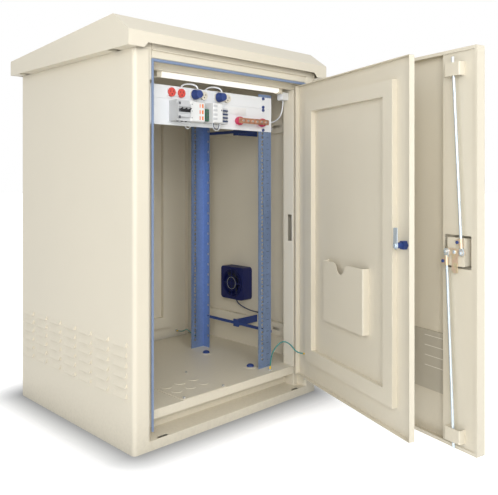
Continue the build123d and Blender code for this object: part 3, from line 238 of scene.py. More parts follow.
class Flow:
    """A value, colour or vector on its way through a finish."""

    def __init__(self, finish, socket):
        self.finish = finish
        self.socket = socket

    def sum(self, operation, first, second):
        """Add a Math node that works on two values."""
        settings = {"operation": operation}
        return self.finish.node("ShaderNodeMath", settings, {0: first, 1: second})

    def __add__(self, other):
        return self.sum("ADD", self, other)

    def __radd__(self, other):
        return self.sum("ADD", other, self)

    def __sub__(self, other):
        return self.sum("SUBTRACT", self, other)

    def __rsub__(self, other):
        return self.sum("SUBTRACT", other, self)

    def __mul__(self, other):
        return self.sum("MULTIPLY", self, other)

    def __rmul__(self, other):
        return self.sum("MULTIPLY", other, self)

    def __pow__(self, other):
        return self.sum("POWER", self, other)


class Finish:
    """A material being built round one principled shader."""

    def __init__(self, name):
        self.material = bpy.data.materials.new(name)
        self.material.use_nodes = True
        self.tree = self.material.node_tree
        self.tree.nodes.clear()
        self.shader = self.tree.nodes.new("ShaderNodeBsdfPrincipled")
        ending = self.tree.nodes.new("ShaderNodeOutputMaterial")
        self.tree.links.new(self.shader.outputs["BSDF"], ending.inputs["Surface"])
        self.place = self.node("ShaderNodeTexCoord", output="Object")

    def node(self, kind, settings=None, values=None, output=0):
        """Add a node, set it up and feed its sockets."""
        made = self.tree.nodes.new(kind)
        for name, value in (settings or {}).items():
            if name == "stops":
                ramp = made.color_ramp
                while len(ramp.elements) < len(value):
                    ramp.elements.new(1.0)
                for stop, (place, colour) in zip(ramp.elements, value):
                    stop.position = place
                    stop.color = (*colour, 1.0)
            else:
                setattr(made, name, value)
        for name, value in (values or {}).items():
            self.feed(made.inputs[name], value)
        return Flow(self, made.outputs[output])

    def feed(self, socket, value):
        """Link a flow to a socket, or set a plain value there."""
        if isinstance(value, Flow):
            self.tree.links.new(value.socket, socket)
        elif socket.type == "RGBA" and len(value) == 3:
            socket.default_value = (*value, 1.0)
        else:
            socket.default_value = value

    def set(self, **values):
        """Feed sockets of the shader, named with _ for each blank."""
        for name, value in values.items():
            self.feed(self.shader.inputs[name.replace("_", " ")], value)
        return self

    def grain(self, scale, detail, stretch=None):
        """Noise at a scale, drawn out along an axis where a stretch is given."""
        place = self.place
        if stretch:
            place = self.node("ShaderNodeMapping", None, {"Vector": place, "Scale": stretch})
        return self.node(
            "ShaderNodeTexNoise",
            None,
            {"Vector": place, "Scale": scale, "Detail": detail, "Roughness": 0.5},
        )

    def height(self):
        """Height above the ground."""
        return self.node("ShaderNodeSeparateXYZ", None, {0: self.place}, "Z")

    def blend(self, first, second, share):
        """Mix two colours."""
        return self.node(
            "ShaderNodeMix",
            {"data_type": "RGBA"},
            {"Factor": share, 6: first, 7: second},
            2,
        )

    def band(self, value, low, high):
        """Stretch a range of values to run from 0 to 1."""
        return self.node(
            "ShaderNodeMapRange",
            {"clamp": True},
            {"Value": value, "From Min": low, "From Max": high},
        )

    def bump(self, height, strength, depth):
        """Roughen the surface with a height."""
        normal = self.node(
            "ShaderNodeBump",
            None,
            {"Strength": strength, "Distance": depth, "Height": height},
        )
        return self.set(Normal=normal)


def shade(colour, share):
    """Lighten or darken a colour."""
    return tuple(min(1.0, part * share) for part in colour)


def powder_coat(name, colour, dust):
    """Sprayed paint with orange peel, and road dust near the ground."""
    finish = Finish(name)
    cloud = finish.grain(2.2, 3.0)
    peel = finish.grain(620.0, 1.0)
    speck = finish.grain(95.0, 4.0)
    tone = finish.blend(shade(colour, 0.955), shade(colour, 1.03), cloud)
    low = 1.0 - finish.band(finish.height(), 0.0, 0.16)
    mark = low * finish.band(speck, 0.42, 0.68) * dust
    finish.set(Base_Color=finish.blend(tone, (0.36, 0.32, 0.25), mark))
    finish.set(Roughness=0.36 + 0.16 * cloud + 0.1 * mark)
    return finish.bump(peel, 0.10, 0.0006)


def zinc(name, colour, dull):
    """Zinc plate with flakes and drawn streaks."""
    finish = Finish(name)
    flake = finish.node(
        "ShaderNodeTexVoronoi",
        None,
        {"Vector": finish.place, "Scale": 170.0},
        "Color",
    )
    flake = finish.node("ShaderNodeSeparateColor", None, {0: flake})
    streak = finish.grain(240.0, 2.0, (1.0, 1.0, 0.04))
    tone = finish.blend(shade(colour, 0.84), shade(colour, 1.14), 0.45 * flake + 0.55 * streak)
    finish.set(Base_Color=tone, Metallic=0.85, Roughness=dull + 0.12 * flake + 0.1 * streak)
    return finish.bump(streak, 0.06, 0.0004)


def yellow_zinc(name):
    """Zinc with the rainbow stain of its yellow bath."""
    finish = Finish(name)
    cloud = finish.grain(46.0, 3.0)
    stops = [
        (0.30, (0.66, 0.60, 0.38)),
        (0.46, (0.78, 0.64, 0.44)),
        (0.60, (0.78, 0.58, 0.45)),
        (0.74, (0.58, 0.60, 0.40)),
    ]
    tone = finish.node("ShaderNodeValToRGB", {"stops": stops}, {0: cloud})
    finish.set(Base_Color=tone, Metallic=0.45, Roughness=0.26 + 0.14 * cloud)
    return finish.bump(finish.grain(420.0, 1.0), 0.05, 0.0004)


def bright_steel(name, colour, dull, metal=0.95):
    """Drawn bright metal with streaks along its length."""
    finish = Finish(name)
    streak = finish.grain(310.0, 2.0, (1.0, 1.0, 0.03))
    finish.set(Base_Color=finish.blend(shade(colour, 0.9), shade(colour, 1.06), streak))
    finish.set(Metallic=metal, Roughness=dull + 0.16 * streak)
    return finish.bump(streak, 0.05, 0.0003)


def copper(name):
    """Rolled copper with brown stains."""
    finish = Finish(name)
    stain = finish.grain(60.0, 4.0)
    streak = finish.grain(300.0, 2.0, (0.04, 1.0, 1.0))
    tone = finish.blend((0.66, 0.36, 0.25), (0.42, 0.21, 0.15), finish.band(stain, 0.45, 0.75))
    finish.set(Base_Color=tone, Metallic=0.95, Roughness=0.28 + 0.2 * streak)
    return finish.bump(streak, 0.06, 0.0003)


def moulded(name, colour, dull):
    """Plastic or rubber with a fine moulded grain."""
    finish = Finish(name)
    cloud = finish.grain(26.0, 2.0)
    grain = finish.grain(900.0, 1.0)
    finish.set(Base_Color=finish.blend(shade(colour, 0.93), shade(colour, 1.06), cloud))
    finish.set(Roughness=dull + 0.1 * grain)
    return finish.bump(grain, 0.12, 0.0003)


def lamp_glow(name):
    """Milky tube that glows a little."""
    finish = moulded(name, (0.86, 0.85, 0.80), 0.3)
    finish.shader.inputs["Emission Color"].default_value = (1.0, 0.97, 0.90, 1.0)
    finish.shader.inputs["Emission Strength"].default_value = 0.55
    return finish


def perforated(name, colour):
    """Painted sheet with holes too fine to model one by one; its paint is darkened as painted
    shade for the holes.
    """
    finish = Finish(name)
    weave = finish.grain(1500.0, 0.0)
    cloud = finish.grain(14.0, 2.0)
    # darker copies of the paint: painted shade for the holes, mixed with a fine grain
    tone = finish.blend(shade(colour, 0.60), shade(colour, 0.78), 0.6 * weave + 0.4 * cloud)
    finish.set(Base_Color=tone, Roughness=0.55 + 0.2 * weave)
    return finish.bump(weave, 0.2, 0.0005)


def make_finishes():
    """Build every finish once."""
    shades = colours()
    made = {
        "paint": powder_coat("cream_paint", tuple(shades.paint), 0.12),
        "panel": powder_coat("panel_paint", tuple(shades.panel), 0.0),
        "rail": zinc("rail_zinc", tuple(shades.rail), 0.40),
        "tie": moulded("dark_blue", tuple(shades.tie), 0.42),
        "navy": moulded("navy_plastic", (0.003, 0.008, 0.085), 0.5),
        "screw": bright_steel("screw_steel", (0.60, 0.61, 0.62), 0.28),
        "rod": bright_steel("blue_zinc", (0.70, 0.80, 0.88), 0.18, 0.55),
        "gold": yellow_zinc("yellow_zinc"),
        "copper": copper("bare_copper"),
        "seal": moulded("seal_rubber", tuple(shades.seal), 0.30),
        "red": moulded("red_plastic", tuple(shades.socket_red), 0.34),
        "insulator": moulded("insulator_resin", tuple(shades.insulator), 0.36),
        "ivory": moulded("ivory_plastic", (0.70, 0.66, 0.56), 0.36),
        "white": moulded("white_plastic", (0.76, 0.765, 0.76), 0.38),
        "grey": moulded("grey_plastic", (0.36, 0.37, 0.385), 0.42),
        "light_grey": moulded("light_grey_plastic", (0.56, 0.57, 0.58), 0.42),
        "black": moulded("black_plastic", (0.014, 0.015, 0.018), 0.4),
        "orange": moulded("orange_window", (0.80, 0.20, 0.03), 0.25),
        "green": moulded("green_terminal", (0.03, 0.12, 0.06), 0.4),
        "yellow": moulded("yellow_sleeve", (0.78, 0.50, 0.02), 0.4),
        "earth": moulded("earth_wire", tuple(shades.earth_wire), 0.42),
        "wire": moulded("white_wire", tuple(shades.wire), 0.4),
        "dark_wire": moulded("dark_wire", (0.03, 0.05, 0.12), 0.42),
        "lamp": lamp_glow("lamp_glow"),
        # vent sheet: cream paint darkened as painted shade for its holes
        "mesh": perforated("perforated_sheet_painted_shade", tuple(shades.paint)),
        "ink": moulded("mark_ink", (0.03, 0.04, 0.08), 0.6),
        "dark": moulded("dark_grey_plastic", (0.08, 0.085, 0.10), 0.45),
        # pale plastic that paints the light seen through the vent's slits
        "slit_light": moulded("painted_slit_light", (0.78, 0.75, 0.67), 0.8),
    }
    return {name: finish.material for name, finish in made.items()}


def finish_of(name):
    """Look up a finish, building them all on first use."""
    if not FINISHES:
        FINISHES.update(make_finishes())
    return FINISHES[name]


FINISHES = {}


# Pieces


def body_of(node):
    """Name of the body that carries a CAD node."""
    for body, nodes in frame["record"]["behaviour"]["bodies"].items():
        if node in nodes:
            return body
    raise ValueError(f"no body holds {node}")


def place_piece(mesh, name, finish, body):
    """Put a mesh into the scene as a piece that rides a body."""
    piece = bpy.data.objects.new(name, mesh)
    bpy.context.scene.collection.objects.link(piece)
    if not mesh.materials:
        mesh.materials.append(finish_of(finish))
    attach(piece, body)
    return piece


def mesh_of(shape, name):
    """Close a bmesh into a mesh whose soft edges shade smoothly."""
    for face in shape.faces:
        face.smooth = True
    for edge in shape.edges:
        edge.smooth = len(edge.link_faces) == 2 and edge.calc_face_angle(pi) < SOFT_ANGLE
    mesh = bpy.data.meshes.new(name)
    shape.to_mesh(mesh)
    shape.free()
    return mesh


def smoothed(node, finish, edge=0.0):
    """Stand a merged copy of a CAD node in its place, with softened edges."""
    shape = bmesh.new()
    shape.from_mesh(frame["nodes"][node].data)
    bmesh.ops.remove_doubles(shape, verts=shape.verts, dist=DOUBLES)
    if edge:
        bmesh.ops.dissolve_limit(
            shape,
            angle_limit=FLAT_ANGLE,
            verts=shape.verts,
            edges=shape.edges,
        )
        sharp = [
            e
            for e in shape.edges
            if len(e.link_faces) == 2 and e.calc_face_angle(0.0) > SHARP_ANGLE
        ]
        bmesh.ops.bevel(
            shape,
            geom=sharp,
            offset=edge,
            offset_type="OFFSET",
            affect="EDGES",
            segments=2,
            profile=0.5,
            material=-1,
            clamp_overlap=True,
        )
    mesh = mesh_of(shape, node + "_skin")
    mesh.materials.clear()
    mesh.materials.append(finish_of(finish))
    piece = place_piece(mesh, node + "_skin", finish, body_of(node))
    even = piece.modifiers.new("even_normals", "WEIGHTED_NORMAL")
    even.keep_sharp = True
    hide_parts(node)
    return piece


def rounded_block(shape, low, high, edge, turn=None):
    """Add a block with rounded edges between two corners."""
    low, high = Vector(low), Vector(high)
    made = bmesh.ops.create_cube(shape, size=1.0)["verts"]
    bmesh.ops.scale(shape, verts=made, vec=high - low)
    bmesh.ops.translate(shape, verts=made, vec=(low + high) / 2)
    edges = list({e for v in made for e in v.link_edges})
    if edge:
        cut = bmesh.ops.bevel(
            shape,
            geom=edges,
            offset=edge,
            offset_type="OFFSET",
            affect="EDGES",
            segments=2,
            profile=0.5,
            material=-1,
        )
        kept = {v for v in made if v.is_valid}
        made = list(kept | {v for f in cut["faces"] for v in f.verts})
    if turn is not None:
        bmesh.ops.transform(shape, matrix=turn, verts=made)
    return made


def turned(shape, profile, spin_axis, centre, steps=24):
    """Add a lathe form: profile pairs are radius and height along the axis."""
    axis = Vector(spin_axis).normalized()
    side = axis.orthogonal().normalized()
    verts = [shape.verts.new(Vector(centre) + side * r + axis * h) for r, h in profile]
    edges = [shape.edges.new(pair) for pair in zip(verts, verts[1:])]
    bmesh.ops.spin(
        shape,
        geom=verts + edges,
        cent=centre,
        axis=axis,
        angle=tau,
        steps=steps,
        use_merge=True,
    )


def finish_turned(shape):
    """Close the lathe forms of a bmesh."""
    bmesh.ops.remove_doubles(shape, verts=shape.verts, dist=SPIN_DOUBLES)
    bmesh.ops.recalc_face_normals(shape, faces=shape.faces)


def pan_head(radius, height):
    """Profile of a screw's pan head with its recess."""
    return [
        (0.0, height * 0.62),
        (radius * 0.16, height * 0.62),
        (radius * 0.22, height),
        (radius * 0.7, height * 0.96),
        (radius * 0.95, height * 0.6),
        (radius, 0.0),
        (0.0, 0.0),
    ]


def hinge_turn(hinge, angle):
    """Matrix that carries a shut door's pieces to the open door."""
    there = Matrix.Translation(hinge)
    return there @ Matrix.Rotation(angle, 4, "Z") @ there.inverted()


OUTER_TURN = hinge_turn(OUTER_HINGE, OUTER_OPEN)


def shut_box(node, turn):
    """Corners of a door piece as it lies with the door shut."""
    back = turn.inverted()
    spots = [back @ vert.co for vert in frame["nodes"][node].data.vertices]
    low = Vector([min(spot[axis] for spot in spots) for axis in range(3)])
    high = Vector([max(spot[axis] for spot in spots) for axis in range(3)])
    return low, high


def blocks(name, boxes, finish, body="cabinet", edge=0.0004, turn=None):
    """Make one piece of several blocks, each between two corners."""
    shape = bmesh.new()
    for low, high in boxes:
        rounded_block(shape, low, high, edge)
    if turn is not None:
        bmesh.ops.transform(shape, matrix=turn, verts=shape.verts)
    return place_piece(mesh_of(shape, name), name, finish, body)


def lathes(name, spots, profile, axis, finish, body="cabinet", steps=24):
    """Make one piece of several like lathe forms."""
    shape = bmesh.new()
    for spot in spots:
        turned(shape, profile, axis, spot, steps)
    finish_turned(shape)
    return place_piece(mesh_of(shape, name), name, finish, body)


def near_spots(node, spot, reach):
    """Corners of a CAD node that lie within reach of a place."""
    return [v.co for v in frame["nodes"][node].data.vertices if (v.co - spot).length < reach]


def face_height(node, way, spot, reach):
    """How far a node's face stands out from a place, measured along a direction."""
    return max((near - spot).dot(way) for near in near_spots(node, spot, reach))


def rod_way(node, pivot):
    """Direction of a rod from its pivot to its far tip."""
    tip = max(frame["nodes"][node].data.vertices, key=lambda v: abs(v.co.z - pivot.z)).co
    return (tip - pivot).normalized()


def rod_middle(node, pivot, into_room):
    """Place on the rod's centre line beside its pivot."""
    past_eye = 0.05
    verts = frame["nodes"][node].data.vertices
    spots = [v.co for v in verts if abs(v.co.z - pivot.z) > past_eye]
    depth = sum((spot - pivot).dot(into_room) for spot in spots) / len(spots)
    return pivot + into_room * depth


def nurbs_curve(name, points):
    """Lay one smooth line over a route's points."""
    curve = bpy.data.curves.new(name, "CURVE")
    curve.dimensions = "3D"
    line = curve.splines.new("NURBS")
    line.points.add(len(points) - 1)
    for knot, point in zip(line.points, points):
        knot.co = (*point, 1.0)
    line.order_u = 3
    line.use_endpoint_u = True
    line.resolution_u = 14
    piece = bpy.data.objects.new(name, curve)
    bpy.context.scene.collection.objects.link(piece)
    return piece


def run_of(points):
    """Length of a line through points."""
    return sum((Vector(b) - Vector(a)).length for a, b in zip(points, points[1:]))


def line_points(piece):
    """Read the places along a bare curve."""
    bpy.context.view_layer.update()
    depsgraph = bpy.context.evaluated_depsgraph_get()
    mesh = bpy.data.meshes.new_from_object(piece.evaluated_get(depsgraph))
    places = [vert.co.copy() for vert in mesh.vertices]
    bpy.data.meshes.remove(mesh)
    return places


def thicken(curve, radius, finish):
    """Give a bare curve a round section and its finish."""
    curve.bevel_depth = radius
    curve.bevel_resolution = 5
    curve.use_fill_caps = True
    curve.materials.append(finish_of(finish))


def cord_piece(name, points, radius, finish, node=None):
    piece = nurbs_curve(name, points)
    length = run_of(line_points(piece))
    thicken(piece.data, radius, finish)
    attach(piece, "cabinet")
    if node:
        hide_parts(node)
    return piece


# Operators


class CabinetOperator:
    """What all steps share."""

    bl_options = {"REGISTER"}


class CABINET_OT_sheet_metal(CabinetOperator, bpy.types.Operator):
    """Coat the sheet metal, the rails and the fixed fittings"""

    bl_idname = "cabinet.sheet_metal"
    bl_label = "Sheet metal"

    def execute(self, context):
        painted = (
            "base_pan left_side_panel right_side_panel left_post right_post lintel top_plate "
            "roof_cap roof_supports rear_panel floor_tray gland_plate side_bars lamp_housing "
            "outer_door_pan closing_stile inner_door_pan inner_stiffener document_pocket lock_body"
        )
        for node in painted.split():
            smoothed(node, "paint")
        for node in ("socket_panel", "device_panel"):
            smoothed(node, "panel")
        for node in ("front_left_rail", "front_right_rail", "rear_left_rail", "rear_right_rail"):
            smoothed(node, "rail")
        smoothed("rail_ties", "tie", 0.0008)
        smoothed("hinge_leaves", "screw")
        smoothed("screws", "screw")
        self.eave_corners()
        self.floor_riser()
        self.seal()
        self.floor_plugs()
        return {"FINISHED"}

    def eave_corners(self):
        """Close the gaps between the lintel's ends, the side panels and the roof."""
        lintel_end, fold, wall = 0.3645, 0.3745, 0.425
        foot, shelf, eave = 1.150, 1.2395, 1.262
        front, post_back, eave_back = -0.382, -0.362, -0.374
        boxes = []
        for side in (-1, 1):
            near, middle, far = side * lintel_end, side * fold, side * wall
            low = (min(near, middle), front, foot)
            boxes.append((low, (max(near, middle), post_back, shelf)))
            low = (min(near, far), front, shelf)
            boxes.append((low, (max(near, far), eave_back, eave)))
        blocks("eave_corners", boxes, "paint", edge=0.0)

    def floor_riser(self):
        """Close the dark opening below the floor's front lip."""
        half_width, front, back = 0.340, -0.297, -0.295
        foot, top = 0.0302, 0.1035
        riser = [((-half_width, front, foot), (half_width, back, top))]
        blocks("floor_riser", riser, "paint", edge=0.0)

    def seal(self):
        """Round and slim the seal and press its top clear of the shut door's lip."""
        rounding = 0.0025
        squeeze, rim = 0.0008, 0.003
        inner, slim = 0.360, 0.0035
        front, sink = -0.387, 0.0015
        verts = smoothed("door_seal", "seal", rounding).data.vertices
        top = max(vert.co.z for vert in verts)
        for vert in verts:
            if vert.co.z > top - rim:
                vert.co.z -= squeeze
            if abs(vert.co.x) < inner:
                vert.co.x += slim if vert.co.x > 0.0 else -slim
            if vert.co.y < front:
                vert.co.y += sink

    def floor_plugs(self):
        """Cover each floor hole with a painted disc and a small blue dome."""
        spots = [(0.214, y, 0.106) for y in (0.033, -0.232)]
        thick, cover_radius, rim = 0.0016, 0.028, 0.001
        dome_radius, dome_height = 0.015, 0.0100
        cover = [
            (0.0, thick),
            (cover_radius - rim, thick),
            (cover_radius, thick - rim),
            (cover_radius, 0.0),
        ]
        angles = [step * pi / 12 for step in range(7)]
        dome = [(dome_radius * cos(a), thick + dome_height * sin(a)) for a in angles]
        covers = lathes(
            "floor_plug_covers", spots, cover, UPWARD, "paint", steps=40
        )
        domes = lathes("floor_plug_domes", spots, dome, UPWARD, "tie", steps=32)
        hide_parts("floor_plugs")
        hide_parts("floor_plugs")


class CABINET_OT_vent(CabinetOperator, bpy.types.Operator):
    """Finish the vent plate, and paint the light seen through its upper slits as pale strips"""

    bl_idname = "cabinet.vent"
    bl_label = "Vent"

    def execute(self, context):
        smoothed("vent_mesh", "mesh")
        low, high = shut_box("vent_mesh", OUTER_TURN)
        recess, proud = 0.0003, 0.0003
        pitch, first, half_slit, half_line = 0.0315, 0.192, 0.0027, 0.0011
        rows, unlit_rows = 6, 2
        columns = [
            (low.x + recess, -0.170),
            (-0.120, -0.030),
            (0.012, 0.102),
            (0.144, 0.234),
        ]
        fillers, lines = [], []
        for row in range(rows):
            level = first + row * pitch
            below = (low.x + recess, low.y + recess, level - half_slit)
            fillers.append((below, (high.x - recess, high.y - recess, level + half_slit)))
            if row < unlit_rows:
                continue
            for left, right in columns:
                start = (left, high.y - proud, level - half_line)
                lines.append((start, (right, high.y + proud, level + half_line)))
        blocks("vent_backing", fillers, "mesh", "outer_door", 0.0, OUTER_TURN)
        # the pale strips are painted light seen through the upper slits
        blocks("vent_slit_light_lines", lines, "slit_light", "outer_door", 0.0, OUTER_TURN)
        return {"FINISHED"}


class CABINET_OT_rail_marks(CabinetOperator, bpy.types.Operator):
    """Print the rack units on the front rails"""

    bl_idname = "cabinet.rail_marks"
    bl_label = "Rail marks"

    def execute(self, context):
        unit = sizes().rack_unit
        face, ink = -0.280, 0.00025
        first, units = 0.134, 23
        line, dot = (0.007, 0.0006), (0.0012, 0.001)
        marks = []
        for x in (0.262, -0.3636):
            for step in range(units + 1):
                middle = first + step * unit
                for z, (wide, tall) in ((middle - unit / 2, line), (middle, dot)):
                    low = (x - wide, face - ink, z - tall)
                    marks.append((low, (x + wide, face, z + tall)))
        blocks("rail_marks", marks, "ink", edge=0.0)
        return {"FINISHED"}


class CABINET_OT_devices(CabinetOperator, bpy.types.Operator):
    """Finish the electrical devices on the rack panels"""

    bl_idname = "cabinet.devices"
    bl_label = "Devices"

    def execute(self, context):
        edge = sizes().edge
        smoothed("red_socket", "red")
        smoothed("white_sockets", "ivory")
        smoothed("plugs", "tie")
        smoothed("breaker_body", "light_grey", edge / 2)
        smoothed("breaker_toggle", "black")
        smoothed("surge_arrester", "white", edge)
        smoothed("relay_body", "white", edge)
        smoothed("terminal_block", "light_grey")
        smoothed("earth_insulators", "insulator")
        smoothed("earth_bar", "copper", edge / 3)
        smoothed("lamp_tube", "lamp")
        smoothed("lamp_switch", "white", edge)
        smoothed("fan_frame", "navy")
        smoothed("fan_guard", "navy")
        smoothed("fan_rotor", "black")
        self.fan_guards()
        return {"FINISHED"}

    def fan_guards(self):
        """Fill the fan's guard with rings, paint a highlight on it as a pale grey ring, and set a
        guard behind its rotor.
        """
        y, z = 0.046, 0.381
        front, back, half, bar = 0.3704, 0.4195, 0.058, 0.002
        rear = [0.008 + 0.006 * step for step in range(9)]
        self.rings("fan_rings", (front, y, z), (0.010, 0.018, 0.034, 0.050), 0.0012, "navy")
        # pale grey ring: a painted highlight on the guard
        self.rings("fan_ring_painted_highlight", (front, y, z), (0.026,), 0.0007, "grey")
        self.rings("fan_rear_rings", (back, y, z), rear, 0.0021, "navy")
        level = ((back, y - half, z - bar), (back + bar, y + half, z + bar))
        upright = ((back, y - bar, z - half), (back + bar, y + bar, z + half))
        blocks("fan_rear_bars", [level, upright], "navy", edge=0.0)

    def rings(self, name, centre, radii, wire, finish):
        """Lay flat rings of wire round the fan's axis."""
        to_room, steps = (-1, 0, 0), 48
        shape = bmesh.new()
        for radius in radii:
            inner, outer = radius - wire, radius + wire
            loop = [(inner, -wire), (inner, wire), (outer, wire), (outer, -wire)]
            turned(shape, loop + loop[:1], to_room, centre, steps)
        finish_turned(shape)
        place_piece(mesh_of(shape, name), name, finish, "cabinet")


class CABINET_OT_device_details(CabinetOperator, bpy.types.Operator):
    """Add slots, screws, windows and terminals to the devices"""

    bl_idname = "cabinet.device_details"
    bl_label = "Device details"

    def execute(self, context):
        self.sockets()
        self.breaker()
        self.arrester()
        self.relay()
        return {"FINISHED"}

    def sockets(self):
        """Slots, earth holes, screws and strap of the sockets, and the panel's bolts."""
        panel, strap_face, face = -0.283, -0.2872, -0.292
        proud, level = 0.0002, 1.1341
        slot_up, slot_wide, earth_down, earth_radius = 0.003, 0.0009, 0.0068, 0.0024
        slots, holes = [], []
        for x in (-0.214, -0.172, -0.072, 0.040):
            for side, half in ((-0.006, 0.0042), (0.006, 0.0035)):
                low = (x + side - slot_wide, face - proud, level + slot_up - half)
                high = (x + side + slot_wide, face + proud, level + slot_up + half)
                slots.append((low, high))
            holes.append((x, face, level - earth_down))
        # the slots and earth holes are black patches: painted shade standing for the openings
        blocks("socket_slots_painted_shade", slots, "black", edge=0.0)
        disc = [(0.0, proud), (earth_radius, proud), (earth_radius, -proud)]
        lathes("socket_holes_painted_shade", holes, disc, TO_FRONT, "black", steps=16)
        half_tall = 0.0113
        low = (-0.2293, -0.2873, level - half_tall)
        strap = [(low, (-0.1567, panel, level + half_tall))]
        blocks("red_socket_strap", strap, "panel", edge=0.0003)
        spots = [(x, strap_face, level) for x in (-0.193, -0.093, 0.019)]
        lathes("socket_screws", spots, pan_head(0.0032, 0.0022), TO_FRONT, "screw")
        bolts = [(0.23255, panel, z) for z in (1.02935, 1.10555, 1.11825, 1.150)]
        lathes("panel_bolts", bolts, pan_head(0.0062, 0.0052), TO_FRONT, "tie")

    def breaker(self):
        """Rows, seams and terminals of the breaker, and the spacer beside it."""
        front, depth, spacer_front = -0.3352, 0.001, -0.330
        half_seam, half_mark = 0.0005, 0.0012
        seams, wells, marks = [], [], []
        for row in (1.094, 1.071, 1.048):
            wells.append(((-0.2195, front, row - 0.005), (-0.2115, front + depth, row + 0.004)))
            low = (-0.1605, spacer_front - 0.0006, row - half_mark)
            marks.append((low, (-0.1575, spacer_front + 0.0005, row + half_mark)))
        for gap in (1.0825, 1.0595):
            low = (-0.2212, front, gap - half_seam)
            seams.append((low, (-0.1668, front + depth, gap + half_seam)))
        # the wells are dark patches: painted shade standing for the recesses
        blocks("breaker_wells_painted_shade", wells, "dark", edge=0.0)
        blocks("breaker_seams", seams, "grey", edge=0.0)
        spacer = [((-0.1665, spacer_front, 1.036), (-0.1525, -0.283, 1.106))]
        blocks("breaker_spacer", spacer, "white", edge=0.001)
        blocks("spacer_marks", marks, "ink", edge=0.0)
        screws = [(x, -0.318, 1.0363) for x in (-0.212, -0.194, -0.176)]
        head = pan_head(0.0042, 0.003)
        lathes("breaker_terminals", screws, head, DOWNWARD, "dark")

    def arrester(self):
        """Orange windows of the surge arrester and the red mark beside it."""
        face, depth, half_tall = -0.3254, 0.001, 0.0065
        windows = []
        for row in (1.092, 1.071, 1.050):
            for x, half in ((-0.1195, 0.002), (-0.1075, 0.0034)):
                low = (x - half, face, row - half_tall)
                windows.append((low, (x + half, face + depth, row + half_tall)))
        blocks("arrester_windows", windows, "orange", edge=0.0003)
        red = [((-0.0935, -0.2842, 1.047), (-0.0905, -0.2828, 1.061))]
        blocks("arrester_mark", red, "insulator", edge=0.0002)

    def relay(self):
        """Terminals, steps and levers round the relay, and the bare plate."""
        green = [((-0.0875, -0.318, 1.042), (-0.0725, -0.283, 1.084))]
        blocks("relay_earth_terminal", green, "green", edge=0.001)
        pitch, half_tall = 0.0125, 0.0035
        slots, ribs, tabs = [], [], []
        for step in range(3):
            z = 1.050 + step * pitch
            slots.append(((-0.0845, -0.3183, z - half_tall), (-0.0765, -0.317, z + half_tall)))
        # the terminal slots are dark patches: painted shade standing for the openings
        blocks("relay_slots_painted_shade", slots, "dark", edge=0.0)
        for step in range(4):
            z = 1.046 + step * 0.015
            ribs.append(((-0.0718, -0.3422, z), (-0.0545, -0.340, z + 0.008)))
        blocks("relay_steps", ribs, "light_grey", edge=0.0006)
        dot = [((-0.0365, -0.3414, 1.079), (-0.0325, -0.3405, 1.0835))]
        blocks("relay_mark", dot, "ink", edge=0.0)
        for step in range(4):
            z = 1.043 + step * pitch
            tabs.append(((-0.0245, -0.3265, z), (0.0095, -0.3225, z + 0.0055)))
        blocks("terminal_levers", tabs, "dark_wire", edge=0.0008)
        plate = [((0.036, -0.2842, 1.079), (0.140, -0.2829, 1.107))]
        blocks("bare_plate", plate, "white", edge=0.0003)


class CABINET_OT_locks(CabinetOperator, bpy.types.Operator):
    """Finish the lock, its rods, the handle and the inner latch"""

    bl_idname = "cabinet.locks"
    bl_label = "Locks"

    def execute(self, context):
        smoothed("lock_cam", "gold")
        smoothed("upper_rod", "rod")
        smoothed("lower_rod", "rod")
        smoothed("escutcheon", "black", 0.001)
        smoothed("door_handle", "black")
        smoothed("latch_barrel_nut", "tie")
        smoothed("latch_lever", "rod", 0.0006)
        into_room = OUTER_TURN.to_3x3() @ Vector((0.0, 1.0, 0.0))
        to_hinge = OUTER_TURN.to_3x3() @ Vector((1.0, 0.0, 0.0))
        spot = LOCK_CENTRE + into_room * face_height("lock_cam", into_room, LOCK_CENTRE, 0.02)
        lathes("cam_screw", [spot], pan_head(0.006, 0.003), into_room, "rod", "lock")
        for body, side in (("upper_rod", -1), ("lower_rod", 1)):
            pivot = LOCK_CENTRE + to_hinge * side * ROD_EYE_OFFSET
            self.rod_end(body, pivot, into_room, to_hinge)
        return {"FINISHED"}

    def rod_end(self, body, pivot, into_room, to_hinge):
        """Pin, clamp sleeve, tab and nut near a rod's pivot."""
        eye_reach, clear_of_cam = 0.012, 0.0003
        sleeve_start, sleeve_length, tab_along, nut_aside = 0.012, 0.030, 0.030, 0.012
        way = rod_way(body, pivot)
        nodes = (body, "lock_cam")
        face = max(face_height(node, into_room, pivot, eye_reach) for node in nodes)
        pin = pivot + into_room * (face + clear_of_cam)
        lathes(body + "_pin", [pin], pan_head(0.0055, 0.0025), into_room, "rod", body)
        middle = rod_middle(body, pivot, into_room)
        lip = 0.0003
        sleeve = [
            (0.004, 0.0),
            (0.0054, lip),
            (0.0054, sleeve_length - lip),
            (0.004, sleeve_length),
        ]
        start = middle + way * sleeve_start
        lathes(body + "_sleeve", [start], sleeve, way, "gold", body)
        shape = bmesh.new()
        turn = Matrix((to_hinge, way.cross(to_hinge), way)).transposed().to_4x4()
        turn.translation = middle + way * tab_along
        rounded_block(shape, (0.004, -0.0015, -0.008), (0.018, 0.0015, 0.008), 0.0008, turn)
        place_piece(mesh_of(shape, body + "_tab"), body + "_tab", "gold", body)
        nut = [(0.0, 0.0065), (0.0034, 0.0065), (0.0052, 0.005), (0.0052, 0.0014), (0.0, 0.0014)]
        spot = middle + way * tab_along + to_hinge * nut_aside
        lathes(body + "_nut", [spot], nut, into_room, "tie", body, 6)


